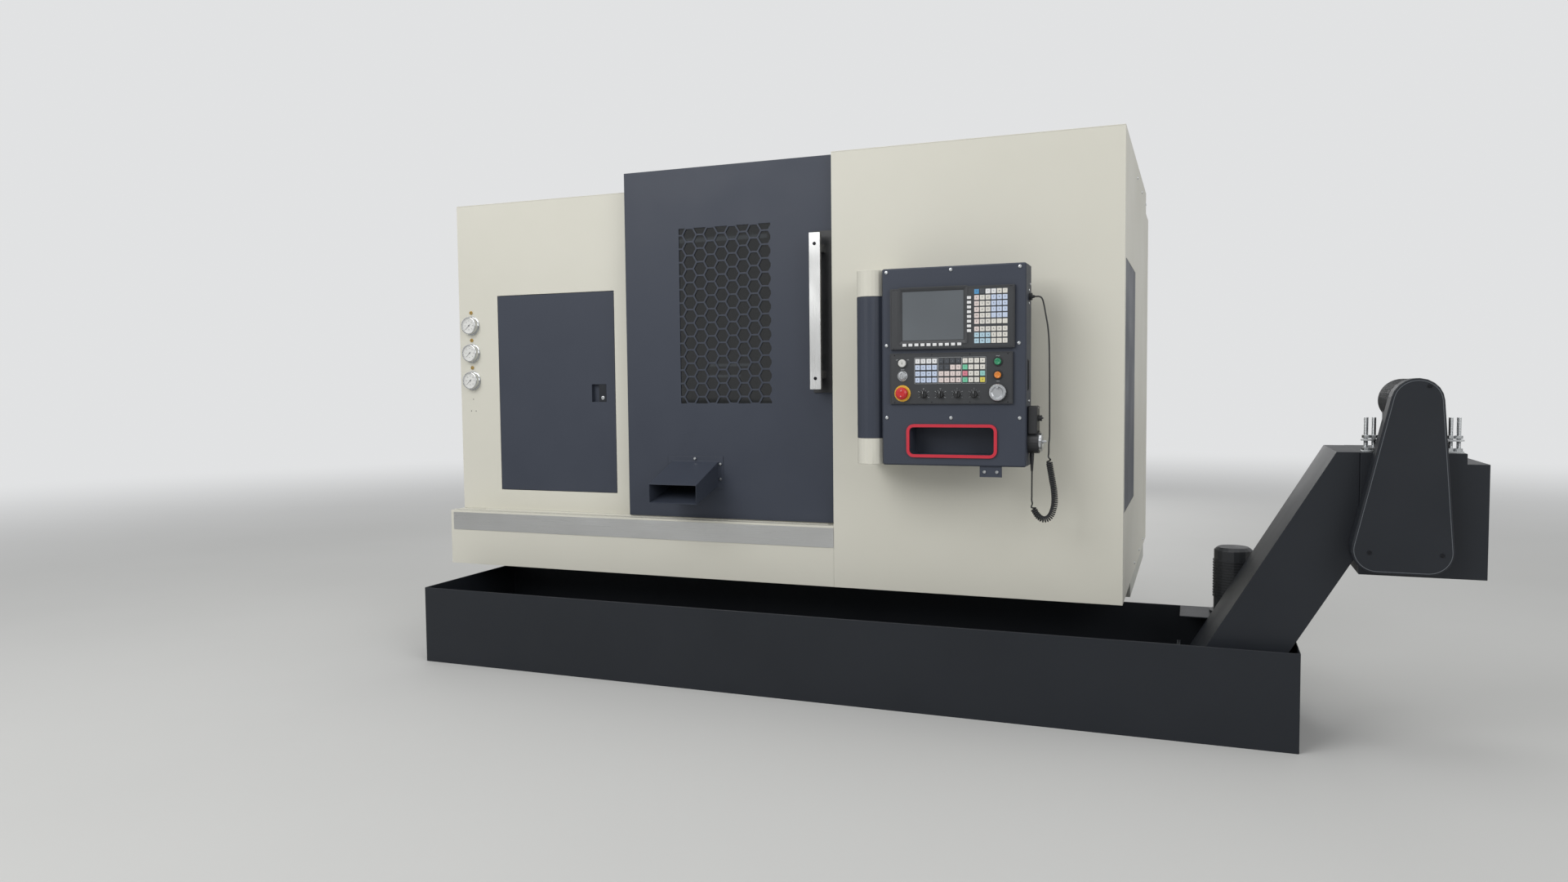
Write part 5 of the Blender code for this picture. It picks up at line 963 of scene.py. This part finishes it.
# Panel screws: pan heads on the right panel's edges and round the rear cover.
# Zinc-plated, each pulled down flat on the sheet.
right_low, right_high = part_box("right_panel")
rear_low, rear_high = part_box("rear_cover")
back_way = Matrix.Rotation(math.radians(-90), 4, "X")
screw_inset = 0.030
rear_columns, rear_rows = [(low + screw_inset, (low + high) / 2, high - screw_inset)
                           for low, high in ((rear_low.x, rear_high.x), (rear_low.z, rear_high.z))]
cover_screws = [at(x, rear_high.y, z, back_way) for x in rear_columns for z in rear_rows]
cover_screws += [at(right_high.x, y, z, side_way)
                 for y in (0.02, 0.36, 0.69) for z in (right_low.z + screw_inset, right_high.z - 0.050)]
set_out("cover_screws", pan_screw(0.0060, 0.0030), cover_screws, zinc_screw, "machine")


# Seam of the sill: a bead of pale sealant along the top edge of the lower panel's front.
# Polyurethane, drawn along the joint and smoothed by hand, so it stands a little proud.
sealant = textured("pale_polyurethane_sealant", "#C4C2B8", "#BCBAB0", 0.05, 0.003, 0.0002, 0.55, 0.05)
lower_low, lower_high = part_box("lower_panel")
bead_length = lower_high.x - lower_low.x - 0.040
turned_piece("sill_bead", at(lower_low.x + 0.020, lower_low.y - 0.00005, lower_high.z - 0.0010, side_way), [
    (0.0011, 0), (0.0014, 0.004), (0.0014, bead_length - 0.004), (0.0011, bead_length)], sealant, "machine", 8)


# Pressure gauges: three oil-filled dials with chromed bezels on the left panel, one above the other.
# White enamelled dials with black figures, a black needle and a flat polycarbonate glass.
# The polished bezels carry the brightest highlights of the left panel; the dials stay flat.
dial_white = textured("white_enamelled_dial", "#E2E2DE", "#DCDCD8", 0.02, 0.001, 0.00002, 0.45, 0.03)
gauge_ink = textured("black_printed_ink", "#1E1F21", "#242527", 0.01, 0.001, 0.00001, 0.5, 0.03)
bezel_chrome = ground("polished_chromed_brass", "#D3D4D5", "#C9CBCC", "Y", 0.004, 0.12, (0, 0, 0))
gauge_glass, gauge_tree, gauge_shader = coat("clear_polycarbonate", Roughness=0.04, IOR=1.58, Alpha=0.12)
gauge_place = add(gauge_tree, "ShaderNodeTexCoord").outputs["Object"]
gauge_wave = add(gauge_tree, "ShaderNodeTexNoise", {"Vector": gauge_place, "Scale": 40.0})
gauge_bump = add(gauge_tree, "ShaderNodeBump", {
    "Height": gauge_wave.outputs["Fac"], "Strength": 0.1, "Distance": 0.0002})
feed(gauge_tree, gauge_shader, Normal=gauge_bump.outputs[0])
dial_start, needle_at = math.radians(135), math.radians(132)  # from straight up, towards the left
gauge_ticks = []
for node in ("gauge_top", "gauge_middle", "gauge_bottom"):
    place, reach = seat_of(node)
    case = bmesh.new()
    turned(case, place, [
        (0.0410, 0), (0.0410, 0.0030), (0.0372, 0.0032), (0.0366, 0.0060), (0.0366, reach - 0.0040),
        (0.0360, reach - 0.0012), (0.0345, reach), (0.0335, reach), (0.0328, reach - 0.0014),
        (0.0326, reach - 0.0060)], 56)
    turned(case, place, [(0.0325, reach - 0.0062), (0.0325, reach - 0.0058)], 48, True, 1)
    stand_in(mesh_piece(node + "_case", case, [bezel_chrome, dial_white], "machine"), node)
    dial_place = place @ at(0, 0, reach - 0.0057)
    for step in range(31):
        gauge_ticks.append(dial_place @ Matrix.Rotation(dial_start - math.radians(9 * step), 4, "Z")
                           @ at(0, 0.0265 if step % 5 else 0.0250, 0))
    figures = bmesh.new()
    for step in range(7):
        angle = dial_start - math.radians(45 * step)
        lettering(figures, round_dial(dial_place, angle, 0.0195, 0.0001), str(10 * step), 0.0062)
    lettering(figures, dial_place @ at(0, -0.0175, 0.0001), "bar", 0.0060)
    needle = [(-0.0011, -0.0080), (0.0011, -0.0080), (0.0004, 0.0240), (-0.0004, 0.0240)]
    loft(figures, dial_place @ Matrix.Rotation(needle_at, 4, "Z"), [(needle, 0.0008), (needle, 0.0013)])
    turned(figures, dial_place, [(0.0030, 0), (0.0030, 0.0018), (0.0022, 0.0022)], 20)
    mesh_piece(node + "_figures", figures, [gauge_ink], "machine")
    turned_piece(node + "_glass", dial_place, [(0.0323, 0.0030), (0.0323, 0.0040)], gauge_glass, "machine", 48)
set_out("gauge_scales", tick_form(0.0003, 0.0030, 0.0001), gauge_ticks, gauge_ink, "machine")


# Adjusting screws of the pressure valves: brass grub screws with a slot, one above each gauge.
# Bare brass, dulled by handling.
brass = ground("turned_brass", "#C8A24C", "#B8933F", "Y", 0.0008, 0.26, (0, 0, 0))
adjusters = bmesh.new()
for node in ("gauge_top", "gauge_middle", "gauge_bottom"):
    place = at(0, 0.0003, 0.055) @ seat_of(node)[0]
    turned(adjusters, place, [(0.0078, 0), (0.0078, 0.0044), (0.0068, 0.0052), (0.0034, 0.0052),
                              (0.0032, 0.0040)], 6)
    # The screw's slot is a dark bar in painted shade.
    pad(adjusters, place, (0.0012, 0.0060), 0.0040, 0.0054, 0.0003, 0.00005, 1)
mesh_piece("adjuster_heads", adjusters, [brass, painted_slot_shade], "machine", 25)


# Blanking plugs below the gauges: three small push-in plugs in holes left for other valves.
# Moulded black polyamide, almost flush with the sheet.
gauge_low, gauge_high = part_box("gauge_bottom")
plugs = [at((gauge_low.x + gauge_high.x) / 2 + side, gauge_high.y + 0.0003, z, facing)
         for side, z in ((0, 1.050), (-0.012, 1.000), (0.012, 1.000))]
set_out("gauge_panel_plugs", pan_screw(0.0022, 0.0007), plugs, moulded_black, "machine")


# Sliding door, its chute, the cabinet door and the side door: folded 2 mm sheet in graphite powder coat.
# The door's window is toughened glass behind a laser-cut hexagon guard, tinted so that little shows inside.
dress(powder_coat, "door_panel", "chip_chute", "cabinet_door", "side_door")
soften(0.0010, "door_panel")
soften(0.0015, "chip_chute", "cabinet_door", "side_door")
window_glass, window_tree, window_shader = coat(
    "toughened_window_glass", Roughness=0.03, IOR=1.52, Transmission_Weight=0.85)
window_place = add(window_tree, "ShaderNodeTexCoord").outputs["Object"]
window_wave = add(window_tree, "ShaderNodeTexNoise", {"Vector": window_place, "Scale": 3.0, "Detail": 1.0})
window_mix = add(window_tree, "ShaderNodeMix", {
    0: window_wave.outputs["Fac"], 6: linear("#2F3437"), 7: linear("#373C40")}, data_type="RGBA")
window_bump = add(window_tree, "ShaderNodeBump", {
    "Height": window_wave.outputs["Fac"], "Strength": 0.2, "Distance": 0.002})
feed(window_tree, window_shader, Base_Color=window_mix.outputs[2], Normal=window_bump.outputs[0])
dress(window_glass, "door_glass")

door_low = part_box("door_panel")[0]
handle_low, handle_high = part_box("door_handle")
handle_middle = (handle_low + handle_high) / 2
# A black strip behind the handle, from 5 mm left of it and 72 mm wide, 12 mm longer at each end.
strip_wide, strip_tall = 0.072, handle_high.z - handle_low.z + 0.024
strip = bmesh.new()
pad(strip, at(handle_low.x - 0.005 + strip_wide / 2, door_low.y - 0.00305, handle_middle.z, facing),
    (strip_wide + 0.0006, strip_tall + 0.0006), -0.0028, 0.0004, 0.0015, 0.0003)
mesh_piece("grip_strip_face", strip, [moulded_black], "sliding_door")
handle_screws = [at(handle_middle.x, handle_low.y, z, facing)
                 for z in (handle_low.z + 0.040, handle_high.z - 0.040)]
set_out("handle_screws", hex_screw(0.0125, 0.0030, 0.0022), handle_screws, black_screw, "sliding_door")


# Chute bolts: three hexagon heads that hold the chip chute's flange to the door.
# Zinc-plated steel, pale against the dark sheet.
def hex_head(radius, height):
    """The head of a hexagon screw, with its chamfered top."""
    form = bmesh.new()
    turned(form, Matrix(), [(radius, 0), (radius, height * 0.8), (radius * 0.85, height)], 6)
    return form


chute_low, chute_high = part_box("chip_chute")
bolt_inset = 0.0100
chute_bolts = [at(x, door_low.y - 0.0026, z, facing) for x, z in (
    ((chute_low.x + chute_high.x) / 2, chute_high.z - bolt_inset),
    (chute_high.x - bolt_inset, chute_high.z - 0.030), (chute_high.x - bolt_inset, chute_low.z + 0.078))]
set_out("chute_bolts", hex_head(0.0056, 0.0040), chute_bolts, zinc_screw, "sliding_door", 20)


# Flush latch of the cabinet door: a black paddle in a pressed cup, with a round lock beside it.
# Die-cast zinc under black paint, worn bright at the lock.
black_paint = textured("black_satin_paint", "#1E2126", "#23262B", 0.30, 0.0012, 0.00008, 0.47, 0.06,
                       Specular_IOR_Level=0.25)
dress(black_paint, "cabinet_latch")
soften(0.0010, "cabinet_latch")
latch_low, latch_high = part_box("cabinet_latch")
lock_shape = bmesh.new()
latch_place = at((latch_low.x + latch_high.x) / 2, latch_low.y, latch_low.z + 0.016, facing)
turned(lock_shape, latch_place, [(0.0075, 0), (0.0075, 0.0008), (0.0068, 0.0012), (0.0050, 0.0012),
                                 (0.0048, 0.0008)], 24)
# The lock's key slot is a flat pad in painted shade.
pad(lock_shape, latch_place, (0.0012, 0.0058), 0.0007, 0.0010, 0.0003, 0.00005, 1)
mesh_piece("latch_lock", lock_shape, [zinc_screw, painted_slot_shade], "cabinet_door_latch")


# Coolant tank, chip conveyor and its chain guard: 4 mm sheet, welded, in black satin paint.
# The tank stands on the floor by itself and slides under the machine from the front.
# Satin paint gives the black wide, soft highlights along each bend.
dress(black_paint, "coolant_tank", "conveyor_trough", "conveyor_incline", "conveyor_head", "chain_guard")
soften(0.0015, "conveyor_trough", "conveyor_incline", "conveyor_head")
soften(0.0025, "coolant_tank", "chain_guard")


# Rim of the chain guard: a painted highlight, a lighter grey band where light catches the cover's folded edge.
# It follows the guard's own outline, a wide foot with round corners that narrows to a round top.
painted_edge_highlight = textured("rubbed_black_paint", "#5B5F64", "#4C5055", 0.03, 0.0012, 0.00008, 0.42, 0.06)
guard_low, guard_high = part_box("chain_guard")
guard_top_radius, guard_corner, guard_lean = 0.066, 0.066, 0.030
foot_half = 0.128 - guard_corner
foot_x, foot_z = guard_low.x + 0.128, guard_low.z + guard_corner


def guard_outline(inset):
    """The guard's outline as seen from the front, about the world's x and z, moved in by a small way."""
    left = (foot_x - foot_half, foot_z, guard_corner - inset)
    right_foot = (foot_x + foot_half, foot_z, guard_corner - inset)
    crown = (foot_x + guard_lean, guard_high.z - guard_top_radius, guard_top_radius - inset)
    points = []
    for (from_x, from_z, radius), (to_x, to_z, _), (back_x, back_z, _) in (
            (left, right_foot, crown), (right_foot, crown, left), (crown, left, right_foot)):
        leave = math.atan2(to_z - from_z, to_x - from_x) - math.pi / 2
        reach = math.atan2(from_z - back_z, from_x - back_x) - math.pi / 2
        while reach > leave:
            reach -= 2 * math.pi
        angles = [reach + (leave - reach) * step / 16 for step in range(17)]
        points += [(from_x + radius * math.cos(angle), from_z + radius * math.sin(angle)) for angle in angles]
    return points


rim = bmesh.new()
rim_rings = [(guard_outline(inset), out) for inset, out in (
    (0.0054, -0.0004), (0.0056, 0.0005), (0.0072, 0.0005), (0.0074, -0.0004))]
loft(rim, at(0, guard_low.y, 0, facing), rim_rings, False)
mesh_piece("guard_rim", rim, [painted_edge_highlight], "machine")


# Guard screws: hexagon heads that hold the chain guard's cover to its back.
# Blackened steel, one at each lower corner and one near the top.
guard_bolts = [at(x, guard_low.y, z, facing) for x, z in (
    (guard_low.x + 0.046, guard_low.z + 0.060), (guard_high.x - 0.030, guard_low.z + 0.060),
    (guard_high.x - 0.070, guard_high.z - 0.022))]
set_out("guard_bolts", hex_head(0.0056, 0.0036), guard_bolts, black_screw, "machine", 20)


# Take-up screws of the conveyor's chain: two pairs of threaded studs with nuts, through bars on the head.
# Zinc-plated; turning the nuts draws the head shaft up and tightens the chain.
head_low, head_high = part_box("conveyor_head")
stud_height, stud_depth = 0.100, head_low.y + 0.030
pair_middles = (head_low.x + 0.026, head_high.x - 0.082)
studs = bmesh.new()
for pair_middle in pair_middles:
    for side in (-0.010, 0.010):
        stud_place = at(pair_middle + side, stud_depth, head_high.z + 0.0003)
        turned(studs, stud_place, [(0.0062 if step % 2 else 0.0054, stud_height * step / 60)
                                   for step in range(61)], 14)
        for nut_z in (0.0040, 0.0400):
            turned(studs, stud_place @ at(0, 0, nut_z),
                   [(0.0096, 0), (0.0106, 0.0010), (0.0106, 0.0080), (0.0096, 0.0090)], 6)
for pair_middle in pair_middles:
    for rise in (0.0002, 0.0330):
        pad(studs, at(pair_middle, stud_depth, head_high.z + rise), (0.044, 0.0240), 0, 0.005, 0.002, 0.0006)
mesh_piece("take_up_studs", studs, [zinc_screw], "machine", 25)


# Motors and pump: cast housings with cooling fins, in black paint over a rough casting.
# Fins, terminal box and name-plate boss are cast in one; the plate's place is left bare.
# The sand-cast skin under the paint breaks up the light, so the black looks soft.
motor_paint = textured("motor_black_paint", "#1D1F22", "#26282B", 0.05, 0.0016, 0.00020, 0.50, 0.06)
dress(motor_paint, "spindle_motor", "coolant_pump", "conveyor_motor")
soften(0.0020, "spindle_motor", "coolant_pump", "conveyor_motor")
fin_tree = new_tree("rings_set_along_an_axis", {
    "Count": "Int", "Pitch": "Float", "Radius": "Float", "Depth": "Float", "Finish": "Material"}, "Fins")
fin_given = add(fin_tree, "NodeGroupInput")
fin_step = add(fin_tree, "ShaderNodeCombineXYZ", {"Z": fin_given.outputs["Pitch"]})
fin_line = add(fin_tree, "GeometryNodeMeshLine", {
    "Count": fin_given.outputs["Count"], "Offset": fin_step.outputs[0]}, mode="OFFSET")
fin_disc = add(fin_tree, "GeometryNodeMeshCylinder", {
    "Vertices": 40, "Radius": fin_given.outputs["Radius"], "Depth": fin_given.outputs["Depth"]})
fin_copies = add(fin_tree, "GeometryNodeInstanceOnPoints", {
    "Points": fin_line.outputs["Mesh"], "Instance": fin_disc.outputs["Mesh"]})
fin_real = add(fin_tree, "GeometryNodeRealizeInstances", {"Geometry": fin_copies.outputs["Instances"]})
fin_painted = add(fin_tree, "GeometryNodeSetMaterial", {
    "Geometry": fin_real.outputs["Geometry"], "Material": fin_given.outputs["Finish"]})
add(fin_tree, "NodeGroupOutput", {"Fins": fin_painted.outputs["Geometry"]})


def fins(name, place, count, pitch, radius, thickness):
    """Round cooling fins along the z axis of a place, made by the tree above, as one piece of the machine."""
    made = bpy.data.objects.new(name, bpy.data.meshes.new(name))
    bpy.context.scene.collection.objects.link(made)
    run_tree(made, fin_tree, {"Count": count, "Pitch": pitch, "Radius": radius, "Depth": thickness,
                              "Finish": motor_paint})
    made.data.transform(place)
    return ridden(made, "machine", 40)


drive_low, drive_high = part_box("conveyor_motor")
drive_middle_x = (drive_low.x + drive_high.x) / 2
fins("conveyor_motor_fins", at(drive_middle_x, drive_low.y + 0.016, drive_high.z - 0.060, back_way), 22, 0.0080,
     0.0640, 0.0026)
motor_low, motor_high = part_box("spindle_motor")
motor_middle = (motor_low + motor_high) / 2
fins("spindle_motor_fins", at(motor_low.x + 0.055, motor_middle.y, motor_middle.z, across_x), 26, 0.0115,
     0.1200, 0.0035)
pump_low, pump_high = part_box("coolant_pump")
pump_middle = (pump_low + pump_high) / 2
fins("coolant_pump_fins", at(pump_middle.x, pump_middle.y, pump_low.z + 0.060), 14, 0.0095, 0.0655, 0.0030)
turned_piece("pump_cable_gland", at(pump_middle.x, pump_low.y + 0.014, pump_low.z + 0.030, facing), [
    (0.0120, 0), (0.0120, 0.0120), (0.0095, 0.0130), (0.0095, 0.0180), (0.0060, 0.0200)], moulded_black,
    "machine", 6, True, 25)


# Guideways: hardened strips ground along their length, seen as two bright bands on the slanted bed.
# Each strip is a thin plate over the casting's way, fine-ground so that it mirrors what slides above it.
slant_frame = at(machine.x, spindle_axis.y, spindle_axis.z, Matrix.Rotation(math.radians(45), 4, "X"))
way_middle, way_length, way_wide = 1.350, 2.196, 0.096
ground_steel = ground("ground_hardened_way", "#B9BBBC", "#AEB0B2", "Y", 0.0010, 0.22, (0, 0, 0))
ways = bmesh.new()
for across_place in (-0.200, 0.290):
    pad(ways, slant_frame @ at(way_middle, across_place, -0.330), (way_length, way_wide), 0.00003, 0.00020,
        0.001, 0.00005)
mesh_piece("way_strips", ways, [ground_steel], "machine")


# Turret: a ground steel disc with eight stations, two clamping screws at each, and a turned cap in front.
# The disc is faced on a lathe, so its rings run about its own axis; the screws are blackened.
disc_low, disc_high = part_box("turret_disc")
disc_middle = (disc_low + disc_high) / 2
turret_steel = ground("ground_turret_steel", "#A9ABAC", "#9C9EA0", "X", 0.0020, 0.30, disc_middle)
dress(turret_steel, "turret_disc")
soften(0.0015, "turret_disc")
turned_left = Matrix.Rotation(math.radians(-90), 4, "Y")
turned_piece("turret_cap", at(disc_low.x, disc_middle.y, disc_middle.z, turned_left), [
    (0.036, 0), (0.036, 0.006), (0.033, 0.009), (0.010, 0.009), (0.009, 0.006)], turned_steel, "turret", 40)
stations = [at(disc_low.x - 0.0003, disc_middle.y, disc_middle.z, Matrix.Rotation(math.radians(turn), 4, "X"))
            for turn in range(0, 360, 45)]
turret_screws = [station @ at(0, side, 0.094, turned_left) for station in stations for side in (-0.014, 0.014)]
set_out("turret_screws", hex_screw(0.012, 0.0046, 0.0030), turret_screws, black_screw, "turret")


# Tailstock screws: four socket-head screws that hold the cover round the quill.
# Blackened alloy steel, in a square about the quill's axis.
quill_middle = (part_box("quill")[0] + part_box("quill")[1]) / 2
tail_screws = [at(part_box("tailstock")[1].x, quill_middle.y + side, quill_middle.z + rise, side_way)
               for side in (-0.045, 0.045) for rise in (-0.045, 0.045)]
set_out("tailstock_screws", hex_screw(0.012, 0.0060, 0.0040), tail_screws, black_screw, "tailstock_casting")


# Cover ring of the headstock: a turned ring over the spindle's front bearing, behind the chuck.
# Cast iron with the headstock's own enamel, its rims broken by a small chamfer.
ring_place = at(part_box("headstock")[1].x, spindle_axis.y, spindle_axis.z, across_x)
turned_piece("headstock_cover_ring", ring_place, [
    (0.105, 0), (0.105, 0.010), (0.101, 0.013), (0.070, 0.013), (0.068, 0.010), (0.068, 0)], casting_paint,
    "machine", 64, False)
